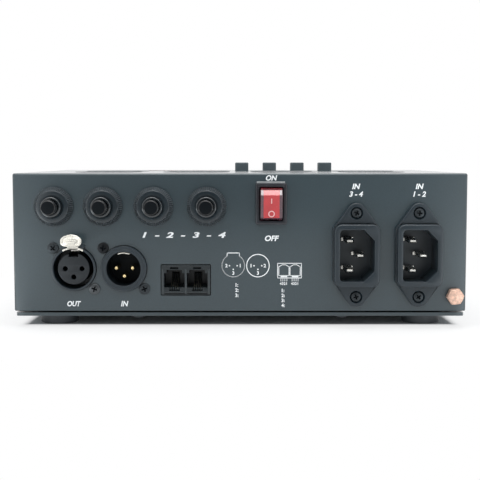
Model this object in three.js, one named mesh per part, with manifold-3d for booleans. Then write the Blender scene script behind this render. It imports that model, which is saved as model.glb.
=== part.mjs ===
// Four-channel dimmer pack: a folded steel case with connector panel, mains outlets, keys and power stage.
// Millimetres, +Z up. The connector panel faces -Y. The origin is the centre of the bounding box's underside.

import * as THREE from 'three';
import { mergeVertices } from 'three/addons/utils/BufferGeometryUtils.js';
import Module from 'manifold-3d';

const wasm = await Module();
wasm.setup();

// Clearances shared by all pieces
const seatGap = 0.3; // between a fixed piece and its seat
const runningGap = 0.25; // beside a piece that moves
const overrun = 1; // how far a cut runs past the face that it opens

// Facets of round forms: an arc gets two facets a step
const roundSides = 32;
const smallSides = 16;
const cornerSteps = 1;
const arcSteps = 3;

// Case: a five-sided cover over a flat base plate on rubber feet
const caseWidth = 216.5;
const caseDepth = 152;
const coverHeight = 66;
const sheet = 1.5;
const bendRadius = 1.6;
const bendSteps = 3;
const foldRadius = 1; // along the cover's lower edge, where the lip turns in
const lipWidth = 10; // the cover's edge, turned in over the base plate
const plateThickness = 1.5;
const plateInset = 0.6;
const footHeight = 6;
const footRadius = 9.5;
const footMargin = 9;
const footEdge = 0.4;
const footRecessRadius = 4;
const footRecessDepth = 3;

// Ventilation slots in the cover's sides and in the base plate
const ventWidth = 3;
const ventLength = 16;
const ventPitch = 8.5;
const ventRowPitch = 20;
const ventCount = 7;
const ventRows = 2;
const ventDropShare = 0.5;
const plateVentLength = 26;
const plateVentPitch = 11;
const plateVentCount = 5;
const plateVentColumnShares = [-0.24, 0, 0.24];

// Circuit breakers that pop out when they trip
const breakerAcrossShares = [-0.4097, -0.3016, -0.1903, -0.0734];
const breakerDropShare = 0.2394;
const breakerBodyWidth = 15;
const breakerBodyHeight = 22;
const breakerBodyDepth = 20;
const breakerBodyCorner = 1.5;
const breakerBladeWidth = 6.3;
const breakerBladeThickness = 0.8;
const breakerBladeReach = 7;
const breakerBladeSpreadShare = 0.3;
const neckRadius = 4.76;
const neckReach = 4.8; // beyond the ring nut
const nutRadius = 9.55;
const nutFrontRadius = 8.4;
const nutThickness = 4.2;
const nutLandShare = 0.35; // part of the nut's thickness before its taper
const nutTeeth = 60;
const nutToothDepth = 0.45;
const buttonRadius = 3.5;
const buttonReach = 6.2; // beyond the neck
const buttonTravel = 3.5;
const buttonHold = 3.5; // what stays inside the neck when the breaker has tripped
const buttonChamfer = 0.5;
const buttonRim = 0.35;

// Round data sockets, fitted from behind through round holes
const dataInset = 18.2; // from the case's left edge to the first ring
const dataDropShare = 0.689;
const ringSpace = 2.3;
const ringFront = 2.1;
const ringChamfer = 0.35;
const outRingRadius = 10.65;
const outGrooveRadius = 9.6;
const outGrooveDepth = 15;
const inRingRadius = 10.95;
const cupRadius = 8.15;
const cupDepth = 15;
const shellWall = 1.3;
const shellFloor = 3;
const flangeLip = 0.9;
const flangeThickness = 2.2;
const flangeCorner = 2;
const insertRadius = 7.6;
const insertFront = 1.2;
const insertChamfer = 0.4;
const socketTail = 3; // behind a socket's floor, to the board
const contactOffset = 4;
const contactHoleRadius = 1.2;
const contactHoleDepth = 10;
const pinRadius = 1.2;
const pinTipDepth = 3; // below the ring's face
const pinTipShare = 0.55;
const springThickness = 0.55;
const springHalfAngle = THREE.MathUtils.degToRad(24);
const springDepth = 9;
const springSetback = 0.5;

// Latch of the output socket: a tongue in the groove, a foot over the ring and a thumb tab
const latchSheet = 0.8;
const latchWidth = 5.2;
const latchTongue = 9;
const latchTongueDrop = 1.7; // from the ring's inner radius down to the tongue's underside
const latchHook = 0.4;
const latchFootHalfAngle = THREE.MathUtils.degToRad(33);
const latchFootRadius = 9.3;
const latchTabWidth = 10.7;
const latchTabHeight = 6.4;
const latchTabThickness = 1.1;
const latchTabRise = 14.4; // from the socket's axis to the tab's centre
const latchTabFront = 9.2;
const latchTabEdge = 0.3;
const insertSlotWidth = 6.4;
const insertSlotDepth = 2.6;

// Double link jack
const linkSpace = 6.85; // from the second ring
const linkMargin = 7.75; // from the cover's lower edge
const linkWidth = 23.5;
const linkHeight = 14.6;
const linkFront = 0.3;
const linkCorner = 0.6;
const linkPortPitch = 10.95;
const linkPortWidth = 9.85;
const linkPortDepth = 13;
const linkPortTopShare = 0.219; // heights as shares of the jack's height, from its middle
const linkPortFloorShare = -0.253;
const linkKeyTopShare = 0.332;
const linkKeyWidthShare = 0.76; // widths as shares of the port's width
const linkNotchWidthShare = 0.52;
const linkNotchFloorShare = -0.363;
const linkSlotWidthShare = 0.4;
const linkSlotLowShare = 0.362;
const linkSlotHighShare = 0.419;
const linkSlotDepth = 4;
const wireCount = 4;
const wirePitch = 1.02;
const wireThickness = 0.45;
const wireSetback = 1.2;
const wireCarrierDepth = 1.2;

// Rocker switch
const switchAcrossShare = 0.0687;
const switchDropShare = 0.22;
const bezelWidth = 14.8;
const bezelHeight = 19.6;
const bezelFront = 2;
const bezelCorner = 0.7;
const bezelEdge = 0.4;
const bezelBorder = 1.75; // from the bezel's edge to the rocker's opening
const switchBodyDepth = 12;
const switchBodyInset = 1; // the body is this much smaller than the bezel on each side
const switchBladeReach = 7;
const switchBladeWidth = 4.8;
const switchBladeThickness = 0.8;
const rockerPivotFront = 0.5; // the pivot, out from the panel's face
const rockerSwing = THREE.MathUtils.degToRad(12); // to each side of its middle
// Points of the rocker's end, which runs on a circle about the pivot, as angles from the face's middle
const rockerEndAngles = [44.8, 69.5, 86, 101].map((angle) => THREE.MathUtils.degToRad(angle));
const rockerDishShare = 0.61; // how far out the face's middle lies, as a share of the radius
const trunnionRadius = 1.2;
const trunnionReach = 0.6;

// Mains inlets
const inletInset = 11.95; // from the case's right edge to the flange
const inletSpace = 7.4;
const inletMargin = 2.35; // from the cover's lower edge
const inletFlangeWidth = 22.4;
const inletFlangeFront = 3;
const inletShoulder = 12.6; // half the height of the flange's straight sides
const inletScrewPitch = 40;
const inletEarRadius = 4.8;
const inletRimWidth = 21.4;
const inletRimHeight = 29.7;
const inletRimFront = 7;
const inletRimCorner = 3.4;
const inletRimEdge = 0.5;
const inletMouthWidth = 16.3;
const inletMouthHeight = 24.4;
const inletMouthChamfer = 5;
const inletMouthCorner = 1.8;
const inletCavityDepth = 16;
const inletWall = 1.6;
const inletFloor = 2.5;
const inletBlades = [
  { name: 'line', acrossShare: -0.209, upShare: 0.287 },
  { name: 'neutral', acrossShare: -0.209, upShare: -0.287 },
  { name: 'earth', acrossShare: 0.098, upShare: 0 },
];
const bladeWidth = 4;
const bladeThickness = 2;
const bladeTipDepth = 1.2; // below the rim
const bladeTipTaper = 0.6;
const bladeTipLength = 1.4;
const bladeTail = 8;

// Earth bolt and its nut
const boltMargin = 1.3; // from the case's edge to the head
const boltRise = 7.7; // from the cover's lower edge to the bolt's axis
const boltHeadRadius = 4.6;
const boltHeadThickness = 4.2;
const boltHeadChamfer = 0.7;
const boltShankRadius = 2;
const boltShankLength = 8;
const boltNutRadius = 4.04;
const boltNutThickness = 3.2;
const hexSides = 6;

// Duplex mains outlets under the cover's top
const outletWidth = 35;
const outletLength = 66;
const outletDepth = 22;
const outletSpace = 10.5;
const outletCorner = 3;
const outletFootInset = 2;
const outletCount = 4;
const outletSetback = 3.2; // behind the breakers
const outletFaceRadius = 17.2;
const outletFaceFlat = 14;
const outletFacePitch = 38.9;
const outletFaceRise = 0.8;
const outletFaceEdge = 0.5;
const bladeSlotPitch = 12.7;
const bladeSlotWidth = 1.9;
const bladeSlotLength = 7;
const wideSlotLength = 8.6;
const bladeSlotOffset = 4;
const earthHoleWidth = 5.8;
const earthHoleLength = 6.2;
const earthHoleOffset = 7.9;
const outletHoleDepth = 17;

// Keys and display window
const keyAcrossShare = 0.1155; // middle of the row of keys
const keyPitch = 16;
const keyCount = 4;
const keyWidth = 7.4;
const keyRise = 4.8;
const keyCorner = 0.9;
const keyEdge = 0.6;
const keySetback = 1.2; // from the outlets to the window's collar
const keyCollar = 1.1;
const keyCollarThickness = 1;
const keyStemRadius = 1.7;
const keyTravel = 0.5;
const windowWidth = 40;
const windowDepth = 14;
const windowCorner = 1.5;
const windowSpace = 10;
const windowRise = 0.2;
const windowCollar = 1.5;
const windowCollarThickness = 1;

// Boards
const boardThickness = 1.6;
const boardMargin = 4; // from the case's walls
const postHeight = 6;
const postRadius = 3;
const postInset = 9;
const controlBoardWidth = 130;
const controlBoardDrop = 8.5; // from the cover's underside
const controlBoardMargin = 2;
const tactWidth = 6;
const tactHeight = 3.5;
const digitsWidth = 37;
const digitsDepth = 12;
const dataBoardMargin = 4;
const dataBoardHeight = 26;

// Power stage
const heatsinkWidth = 150;
const heatsinkHeight = 26;
const heatsinkBase = 4;
const finCount = 13;
const finThickness = 1.6;
const finReach = 9;
const triacWidth = 10;
const triacHeight = 15;
const triacThickness = 4.4;
const chokeCount = 4;
const chokeAcrossShares = [-0.34, -0.17, 0, 0.17];
const chokeDepthShare = 0.34; // of the main board's depth
const chokeRadius = 15;
const chokeBore = 6.5;
const chokeHeight = 13;
const chokeEdge = 2.5;
const coreWidth = 32;
const coreDepth = 26;
const coreHeightShare = 0.745; // of the room under the outlets
const bobbinWidth = 20;
const bobbinDepth = 35;
const bobbinHeightShare = 0.73; // of the core's height
const coreAcrossShare = 0.37;

// Heights and depths that the sizes above give
const plateTop = footHeight + plateThickness;
const coverFoot = plateTop + seatGap;
const caseTop = coverFoot + coverHeight;
const breakerReach = seatGap + nutThickness + neckReach + buttonReach;
const buttonInside = buttonTravel + buttonHold;
const behindPanel = sheet + seatGap;
const breakerBack = behindPanel + breakerBodyDepth + breakerBladeReach;
const outletFrontY = breakerBack + outletSetback;
const outletY = outletFrontY + outletLength / 2;
const keyY = outletFrontY + outletLength + keySetback + windowCollar + windowDepth / 2;

// Places on the panel
const breakerZ = caseTop - breakerDropShare * coverHeight;
const dataZ = caseTop - dataDropShare * coverHeight;
const dataOutX = dataInset + outRingRadius - caseWidth / 2;
const dataInX = dataOutX + outRingRadius + ringSpace + inRingRadius;
const linkX = dataInX + inRingRadius + linkSpace + linkWidth / 2;
const linkZ = coverFoot + linkMargin + linkHeight / 2;
const switchX = switchAcrossShare * caseWidth;
const switchZ = caseTop - switchDropShare * coverHeight;
const rightInletX = caseWidth / 2 - inletInset - inletFlangeWidth / 2;
const inletXs = [rightInletX - inletFlangeWidth - inletSpace, rightInletX];
const inletZ = coverFoot + inletMargin + inletEarRadius + inletScrewPitch / 2;
const boltX = caseWidth / 2 - boltMargin - boltHeadRadius;
const boltZ = coverFoot + boltRise;

// Places on the top
const outletXs = spread(outletCount, outletWidth + outletSpace, 0);
const keyXs = spread(keyCount, keyPitch, keyAcrossShare * caseWidth);
const windowX = keyXs[0] - keyWidth / 2 - windowSpace - windowWidth / 2;

// Finishes
const powderCoat = finish(0x434d52, 0.62, 0.2);
const blackPlastic = finish(0x26292b, 0.45, 0);
const greyPlastic = finish(0x33383b, 0.5, 0);
const redPlastic = finish(0xc23c40, 0.25, 0);
const rubber = finish(0x1c1d1e, 0.9, 0);
const nickel = finish(0xd9d8d2, 0.2, 1);
const gold = finish(0xd8a94b, 0.25, 1);
const steel = finish(0xb9bcbe, 0.35, 1);
const copper = finish(0xd98c60, 0.4, 1);
const darkWindow = finish(0x240a0c, 0.1, 0);
const circuitBoard = finish(0x1d5a38, 0.6, 0);
const bareAluminium = finish(0xa9adb0, 0.4, 1);
const enamel = finish(0x9c5a2a, 0.4, 0.3);

function finish(color, roughness, metalness) {
  return new THREE.MeshStandardMaterial({ color, roughness, metalness });
}

// Evenly pitched places about a middle
function spread(count, pitch, middle) {
  return Array.from({ length: count }, (_, i) => middle + (i - (count - 1) / 2) * pitch);
}

// A closed geometry as a solid that can be joined and cut
function solidOf(geometry) {
  const bare = geometry.clone();
  bare.deleteAttribute('normal');
  bare.deleteAttribute('uv');
  const merged = mergeVertices(bare);
  const corners = merged.index.array;
  const triangles = [];
  for (let i = 0; i < corners.length; i += 3) {
    const [a, b, c] = [corners[i], corners[i + 1], corners[i + 2]];
    if (a !== b && b !== c && c !== a) {
      triangles.push(a, b, c);
    }
  }
  return new wasm.Manifold(new wasm.Mesh({
    numProp: 3,
    vertProperties: Float32Array.from(merged.attributes.position.array),
    triVerts: Uint32Array.from(triangles),
  }));
}

function geometryOf(solid) {
  const mesh = solid.getMesh();
  const geometry = new THREE.BufferGeometry();
  geometry.setAttribute('position', new THREE.BufferAttribute(mesh.vertProperties, 3));
  geometry.setIndex(new THREE.BufferAttribute(mesh.triVerts, 1));
  geometry.computeVertexNormals();
  return geometry;
}

function join(first, ...others) {
  let solid = solidOf(first);
  for (const other of others) {
    solid = solid.add(solidOf(other));
  }
  return geometryOf(solid);
}

function cut(body, ...tools) {
  let solid = solidOf(body);
  for (const tool of tools) {
    solid = solid.subtract(solidOf(tool));
  }
  return geometryOf(solid);
}

function polygon(points) {
  return new THREE.Shape(points.map(([x, y]) => new THREE.Vector2(x, y)));
}

function rectangle(width, height) {
  const [x, y] = [width / 2, height / 2];
  return polygon([[-x, -y], [x, -y], [x, y], [-x, y]]);
}

function disc(radius) {
  return new THREE.Shape().absarc(0, 0, radius, 0, Math.PI * 2);
}

function rounded(width, height, radius) {
  const [x, y] = [width / 2 - radius, height / 2 - radius];
  const quarter = Math.PI / 2;
  const shape = new THREE.Shape();
  [[x, -y], [x, y], [-x, y], [-x, -y]].forEach(([cx, cy], i) => {
    shape.absarc(cx, cy, radius, (i - 1) * quarter, i * quarter);
  });
  return shape;
}

// A slot with round ends that lies along X
function stadium(length, width) {
  return rounded(length, width, width / 2);
}

// A disc with two flat sides that face up and down
function flattened(radius, flat) {
  const angle = Math.asin(flat / radius);
  return new THREE.Shape()
    .absarc(0, 0, radius, -angle, angle)
    .absarc(0, 0, radius, Math.PI - angle, Math.PI + angle);
}

// A band between two radii, centred on +Y
function band(inner, outer, halfAngle) {
  const top = Math.PI / 2;
  return new THREE.Shape()
    .absarc(0, 0, outer, top - halfAngle, top + halfAngle)
    .absarc(0, 0, inner, top + halfAngle, top - halfAngle, true);
}

// A regular outline, its corners alternating between two radii
function star(points, outer, inner, turn = 0) {
  return polygon(Array.from({ length: points }, (_, i) => {
    const angle = turn + (i * 2 * Math.PI) / points;
    const radius = i % 2 ? inner : outer;
    return [radius * Math.cos(angle), radius * Math.sin(angle)];
  }));
}

function prism(shape, from, to, curveSegments = cornerSteps) {
  const settings = { depth: to - from, bevelEnabled: false, curveSegments };
  return new THREE.ExtrudeGeometry(shape, settings).translate(0, 0, from);
}

function cylinder(radius, from, to, sides = roundSides) {
  return prism(disc(radius), from, to, sides / 2);
}

function block(width, depth, height) {
  return new THREE.BoxGeometry(width, depth, height);
}

// A profile of radius and height, turned about Z
function revolve(profile, sides = roundSides) {
  const points = profile.map(([radius, height]) => new THREE.Vector2(radius, height));
  return new THREE.LatheGeometry(points, sides).rotateX(Math.PI / 2);
}

function outline(shape, steps) {
  const points = shape.getPoints(steps);
  if (points[0].distanceTo(points[points.length - 1]) < Number.EPSILON ** 0.5) {
    points.pop();
  }
  return THREE.ShapeUtils.isClockWise(points) ? points.reverse() : points;
}

// A closed body skinned through outlines with equally many points, from the lowest height to the highest
function loft(sections, steps = cornerSteps) {
  const rings = sections.map(([shape]) => outline(shape, steps));
  const count = rings[0].length;
  const positions = rings.flatMap((ring, i) => ring.flatMap((point) => [point.x, point.y, sections[i][1]]));
  const index = [];
  for (let ring = 0; ring < rings.length - 1; ring += 1) {
    for (let i = 0; i < count; i += 1) {
      const here = ring * count + i;
      const next = ring * count + ((i + 1) % count);
      index.push(here, next, next + count, here, next + count, here + count);
    }
  }
  const last = (rings.length - 1) * count;
  for (const [a, b, c] of THREE.ShapeUtils.triangulateShape(rings[0], [])) {
    index.push(c, b, a);
  }
  for (const [a, b, c] of THREE.ShapeUtils.triangulateShape(rings[rings.length - 1], [])) {
    index.push(last + a, last + b, last + c);
  }
  const geometry = new THREE.BufferGeometry();
  geometry.setAttribute('position', new THREE.Float32BufferAttribute(positions, 3));
  geometry.setIndex(index);
  return geometry;
}

// A block with upright rounded corners whose front edge is bevelled
function bevelled(width, height, corner, edge, from, to) {
  return loft([
    [rounded(width, height, corner), from],
    [rounded(width, height, corner), to - edge],
    [rounded(width - 2 * edge, height - 2 * edge, corner), to],
  ]);
}

// A side profile of depth and height, made as wide as asked and centred on X
function sideProfile(points, width) {
  const shape = polygon(points);
  return prism(shape, -width / 2, width / 2).rotateY(-Math.PI / 2);
}

// Cutters for the panel, the top and both sides of the cover
function panelCut(shape, x, z, curveSegments) {
  const from = -(sheet + overrun);
  return prism(shape, from, overrun, curveSegments).rotateX(Math.PI / 2).translate(x, 0, z);
}

function topCut(shape, x, y, curveSegments) {
  return prism(shape, -(sheet + overrun), overrun, curveSegments).translate(x, y, caseTop);
}

function sideCut(shape, y, z) {
  const reach = caseWidth / 2 + overrun;
  return prism(shape, -reach, reach).rotateY(Math.PI / 2).translate(0, y, z);
}

// The case

function cover() {
  const full = rounded(caseWidth, caseDepth, bendRadius);
  const outer = loft([
    ...bentEdge(foldRadius, coverFoot, 1),
    [full, coverFoot + foldRadius],
    [full, caseTop - bendRadius],
    ...bentEdge(bendRadius, caseTop, -1).reverse(),
  ]).translate(0, caseDepth / 2, 0);
  const roomHeight = coverHeight - 2 * sheet;
  const room = block(caseWidth - 2 * sheet, caseDepth - 2 * sheet, roomHeight)
    .translate(0, caseDepth / 2, coverFoot + sheet + roomHeight / 2);
  const mouth = block(caseWidth - 2 * lipWidth, caseDepth - 2 * lipWidth, 2 * (sheet + overrun))
    .translate(0, caseDepth / 2, coverFoot);
  const shell = cut(outer, room, mouth);
  const posts = controlPostPlaces().map(([x, y]) => {
    const post = cylinder(postRadius, -controlBoardDrop, sheet / 2, smallSides);
    return post.translate(x, y, caseTop - sheet);
  });
  return cut(join(shell, ...posts), ...panelCuts(), ...topCuts(), ...ventCuts());
}

// The cover's outlines round a bent edge, from the face at its end inwards
function bentEdge(radius, face, direction) {
  const sections = [];
  for (let i = 0; i < bendSteps; i += 1) {
    const angle = (i / bendSteps) * (Math.PI / 2);
    const inset = 2 * radius * (1 - Math.sin(angle));
    const height = face + direction * radius * (1 - Math.cos(angle));
    sections.push([rounded(caseWidth - inset, caseDepth - inset, bendRadius), height]);
  }
  return sections;
}

function panelCuts() {
  const breakers = breakerAcrossShares.map((share) => (
    panelCut(disc(neckRadius + seatGap), share * caseWidth, breakerZ, smallSides / 2)
  ));
  const inlet = rounded(inletBodyWidth() + 2 * seatGap, inletBodyHeight() + 2 * seatGap, inletMouthCorner);
  const inlets = inletXs.map((x) => panelCut(inlet, x, inletZ));
  return [
    ...breakers,
    ...inlets,
    panelCut(disc(outRingRadius + seatGap), dataOutX, dataZ, roundSides / 2),
    panelCut(disc(inRingRadius + seatGap), dataInX, dataZ, roundSides / 2),
    panelCut(rounded(linkWidth + 2 * seatGap, linkHeight + 2 * seatGap, linkCorner), linkX, linkZ),
    panelCut(rectangle(switchBodyWidth() + 2 * seatGap, switchBodyHeight() + 2 * seatGap), switchX, switchZ),
    panelCut(disc(boltShankRadius + seatGap), boltX, boltZ, smallSides / 2),
  ];
}

function topCuts() {
  const faces = outletXs.flatMap((x) => spread(2, outletFacePitch, outletY).map((y) => (
    topCut(flattened(outletFaceRadius + seatGap, outletFaceFlat + seatGap), x, y, arcSteps)
  )));
  const keys = keyXs.map((x) => topCut(rounded(keyHole(), keyHole(), keyCorner), x, keyY));
  const window = rounded(windowWidth + 2 * seatGap, windowDepth + 2 * seatGap, windowCorner);
  return [...faces, ...keys, topCut(window, windowX, keyY)];
}

function ventCuts() {
  const middle = caseTop - ventDropShare * coverHeight;
  return spread(ventRows, ventRowPitch, middle).flatMap((z) => (
    spread(ventCount, ventPitch, caseDepth / 2).map((y) => sideCut(stadium(ventLength, ventWidth), y, z))
  ));
}

function basePlate() {
  const width = caseWidth - 2 * plateInset;
  const depth = caseDepth - 2 * plateInset;
  const plate = prism(rounded(width, depth, bendRadius), footHeight, plateTop)
    .translate(0, caseDepth / 2, 0);
  const posts = mainPostPlaces().map(([x, y]) => (
    cylinder(postRadius, plateTop - plateThickness / 2, plateTop + postHeight, smallSides).translate(x, y, 0)
  ));
  const vents = plateVentColumnShares.flatMap((share) => (
    spread(plateVentCount, plateVentPitch, caseDepth / 2).map((y) => (
      prism(stadium(plateVentLength, ventWidth), footHeight - overrun, plateTop + overrun)
        .translate(share * caseWidth, y, 0)
    ))
  ));
  return cut(join(plate, ...posts), ...vents);
}

function foot() {
  return revolve([
    [0, footRecessDepth],
    [footRecessRadius, footRecessDepth],
    [footRecessRadius, 0],
    [footRadius - 2 * footEdge, 0],
    [footRadius - footEdge, footEdge / 2],
    [footRadius, footHeight - footEdge],
    [footRadius, footHeight],
    [0, footHeight],
  ], smallSides);
}

// Circuit breaker, its axis along Z and the panel's outer face at zero

function breakerBody() {
  const body = prism(
    rounded(breakerBodyWidth, breakerBodyHeight, breakerBodyCorner),
    -behindPanel - breakerBodyDepth,
    -behindPanel,
  );
  const front = breakerReach - buttonReach;
  const neck = cylinder(neckRadius, -behindPanel - sheet, front, smallSides);
  const blades = [-1, 1].map((side) => (
    block(breakerBladeWidth, breakerBladeThickness, breakerBladeReach + sheet).translate(
      0,
      side * breakerBladeSpreadShare * breakerBodyHeight,
      (sheet - breakerBladeReach) / 2 - behindPanel - breakerBodyDepth,
    )
  ));
  const boreFloor = front - buttonInside - seatGap;
  const bore = cylinder(buttonRadius + runningGap, boreFloor, front + overrun, smallSides);
  return cut(join(body, neck, ...blades), bore);
}

function breakerNut() {
  const points = 2 * nutTeeth;
  const base = star(points, nutRadius, nutRadius - nutToothDepth);
  const face = star(points, nutFrontRadius, nutFrontRadius - nutToothDepth / 2);
  const land = seatGap + nutLandShare * nutThickness;
  const ring = loft([[base, seatGap], [base, land], [face, seatGap + nutThickness]]);
  return cut(ring, cylinder(neckRadius + seatGap, 0, seatGap + nutThickness + overrun, smallSides));
}

function breakerButton() {
  const front = breakerReach;
  return revolve([
    [0, front - buttonReach - buttonInside],
    [buttonRadius, front - buttonReach - buttonInside],
    [buttonRadius, front - buttonChamfer],
    [buttonRadius - buttonChamfer, front],
    [buttonRadius - buttonChamfer - buttonRim, front],
    [buttonRadius - buttonChamfer - 2 * buttonRim, front - buttonRim],
    [0, front - buttonRim],
  ], smallSides);
}

// Data sockets

function socketFlange(ringRadius) {
  const width = 2 * (ringRadius + flangeLip);
  return prism(rounded(width, width, flangeCorner), -behindPanel - flangeThickness, -behindPanel);
}

function ring(radius, back) {
  return revolve([
    [0, back],
    [radius, back],
    [radius, ringFront - ringChamfer],
    [radius - ringChamfer, ringFront],
    [0, ringFront],
  ]);
}

function dataOutShell() {
  const floor = ringFront - outGrooveDepth;
  return cut(
    join(ring(outRingRadius, floor - shellFloor), socketFlange(outRingRadius)),
    cylinder(outGrooveRadius, floor, ringFront + overrun),
    cylinder(insertRadius + seatGap, floor - shellFloor - overrun, floor + overrun),
  );
}

// Where the sockets and the link jack end, just clear of the board behind them
function socketBack() {
  return ringFront - outGrooveDepth - shellFloor - socketTail;
}

function dataOutInsert() {
  const back = socketBack();
  const plug = revolve([
    [0, back],
    [insertRadius, back],
    [insertRadius, insertFront - insertChamfer],
    [insertRadius - insertChamfer, insertFront],
    [0, insertFront],
  ]);
  const holes = contactPlaces().map(([x, y]) => (
    cylinder(contactHoleRadius, insertFront - contactHoleDepth, insertFront + overrun, smallSides)
      .translate(x, y, 0)
  ));
  const slotLength = latchTongue + insertFront + 2 * seatGap + overrun;
  const slot = block(insertSlotWidth, 2 * insertSlotDepth, slotLength)
    .translate(0, insertRadius, insertFront + overrun - slotLength / 2);
  return cut(plug, slot, ...holes);
}

function contactPlaces() {
  return [[-contactOffset, 0], [contactOffset, 0], [0, -contactOffset]];
}

function dataOutLatch() {
  const footBack = ringFront + seatGap;
  const footFront = footBack + latchSheet;
  const low = outGrooveRadius - latchTongueDrop;
  const tabBack = latchTabFront - latchTabThickness;
  const tabLow = latchTabRise - latchTabHeight / 2;
  const arm = sideProfile([
    [-latchTongue, low],
    [footFront, low],
    [footFront, tabLow - latchSheet],
    [tabBack + latchSheet, tabLow + latchSheet],
    [tabBack + latchSheet, latchTabRise],
    [tabBack, latchTabRise],
    [tabBack, tabLow + 2 * latchSheet],
    [footBack, tabLow + latchSheet / 2],
    [footBack, low + latchSheet],
    [latchHook - latchTongue + latchSheet, low + latchSheet],
    [-latchTongue, low + latchSheet + latchHook],
  ], latchWidth);
  const foot = prism(
    band(latchFootRadius, latchFootRadius + latchSheet, latchFootHalfAngle),
    footBack,
    footFront,
    arcSteps,
  );
  const full = new THREE.Shape().absellipse(0, 0, latchTabWidth / 2, latchTabHeight / 2, 0, Math.PI * 2);
  const slim = new THREE.Shape().absellipse(
    0,
    0,
    latchTabWidth / 2 - latchTabEdge,
    latchTabHeight / 2 - latchTabEdge,
    0,
    Math.PI * 2,
  );
  const tab = loft([
    [slim, tabBack],
    [full, tabBack + latchTabEdge],
    [full, latchTabFront - latchTabEdge],
    [slim, latchTabFront],
  ], roundSides / 2).translate(0, latchTabRise, 0);
  return join(arm, foot, tab);
}

function dataInShell() {
  const floor = ringFront - cupDepth;
  const barrel = cylinder(cupRadius + shellWall, floor - shellFloor, -behindPanel);
  const holes = contactPlaces().map(([x, y]) => (
    cylinder(pinRadius + seatGap, floor - shellFloor - overrun, floor + overrun, smallSides)
      .translate(x, y, 0)
  ));
  return cut(
    join(ring(inRingRadius, -behindPanel), socketFlange(inRingRadius), barrel),
    cylinder(cupRadius, floor, ringFront + overrun),
    ...holes,
  );
}

function dataInPin() {
  const tip = ringFront - pinTipDepth;
  return revolve([
    [0, socketBack()],
    [pinRadius, socketBack()],
    [pinRadius, tip - pinRadius * pinTipShare],
    [pinRadius * pinTipShare, tip],
    [0, tip],
  ], smallSides);
}

function dataInSpring() {
  const outer = cupRadius - seatGap;
  const front = ringFront - springSetback;
  return prism(band(outer - springThickness, outer, springHalfAngle), front - springDepth, front, arcSteps);
}

// Double link jack

function linkPort() {
  const half = linkPortWidth / 2;
  const key = half * linkKeyWidthShare;
  const notch = half * linkNotchWidthShare;
  const [top, floor] = [linkPortTopShare * linkHeight, linkPortFloorShare * linkHeight];
  const [keyTop, notchFloor] = [linkKeyTopShare * linkHeight, linkNotchFloorShare * linkHeight];
  return polygon([
    [-notch, notchFloor], [notch, notchFloor], [notch, floor], [half, floor], [half, top],
    [key, top], [key, keyTop], [-key, keyTop], [-key, top], [-half, top], [-half, floor], [-notch, floor],
  ]);
}

function linkHousing() {
  const body = bevelled(linkWidth, linkHeight, linkCorner, seatGap, socketBack(), linkFront);
  const slotHeight = (linkSlotHighShare - linkSlotLowShare) * linkHeight;
  const slotMiddle = ((linkSlotHighShare + linkSlotLowShare) / 2) * linkHeight;
  const slot = rectangle(linkSlotWidthShare * linkPortWidth, slotHeight);
  const cuts = spread(2, linkPortPitch, 0).flatMap((x) => [
    prism(linkPort(), linkFront - linkPortDepth, linkFront + overrun).translate(x, 0, 0),
    prism(slot, linkFront - linkSlotDepth, linkFront + overrun).translate(x, slotMiddle, 0),
  ]);
  return cut(body, ...cuts);
}

// A port's contact wires, which rise from the notch to a carrier at the port's back
function linkContacts() {
  const back = linkFront - linkPortDepth + seatGap;
  const front = linkFront - wireSetback;
  const low = linkNotchFloorShare * linkHeight + seatGap;
  const high = linkPortTopShare * linkHeight - seatGap;
  const wires = spread(wireCount, wirePitch, 0).map((x) => sideProfile([
    [back, low],
    [front, low],
    [front, low + wireThickness],
    [back + wireCarrierDepth + wireThickness, high],
    [back, high],
  ], wireThickness).translate(x, 0, 0));
  const relief = sideProfile([
    [back + wireCarrierDepth, low + wireThickness],
    [front - 2 * wireThickness, low + wireThickness],
    [back + wireCarrierDepth, high - 2 * wireThickness],
  ], linkPortWidth);
  const span = (wireCount - 1) * wirePitch + wireThickness;
  const carrier = block(span, high - low, wireCarrierDepth)
    .translate(0, (high + low) / 2, back + wireCarrierDepth / 2);
  return cut(join(carrier, ...wires), relief);
}

// Rocker switch

function switchBodyWidth() {
  return bezelWidth - 2 * switchBodyInset;
}

function switchBodyHeight() {
  return bezelHeight - 2 * switchBodyInset;
}

function rockerRadius() {
  return bezelHeight / 2 - bezelBorder - runningGap;
}

function rockerWidth() {
  return bezelWidth - 2 * bezelBorder - 2 * runningGap;
}

function switchBody() {
  const bezel = bevelled(bezelWidth, bezelHeight, bezelCorner, bezelEdge, seatGap, bezelFront);
  const body = prism(rectangle(switchBodyWidth(), switchBodyHeight()), -switchBodyDepth, bezelFront / 2);
  const blades = [-1, 1].map((side) => (
    block(switchBladeWidth, switchBladeThickness, switchBladeReach + sheet)
      .translate(0, (side * switchBodyHeight()) / 4, (sheet - switchBladeReach) / 2 - switchBodyDepth)
  ));
  const opening = rectangle(bezelWidth - 2 * bezelBorder, bezelHeight - 2 * bezelBorder);
  const room = prism(opening, rockerPivotFront - rockerRadius(), bezelFront + overrun);
  const pivot = cylinder(trunnionRadius + runningGap, -trunnionLength() / 2, trunnionLength() / 2, smallSides)
    .rotateY(Math.PI / 2)
    .translate(0, 0, rockerPivotFront);
  return cut(join(bezel, body, ...blades), room, pivot);
}

function trunnionLength() {
  return rockerWidth() + 2 * trunnionReach + 2 * runningGap;
}

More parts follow.
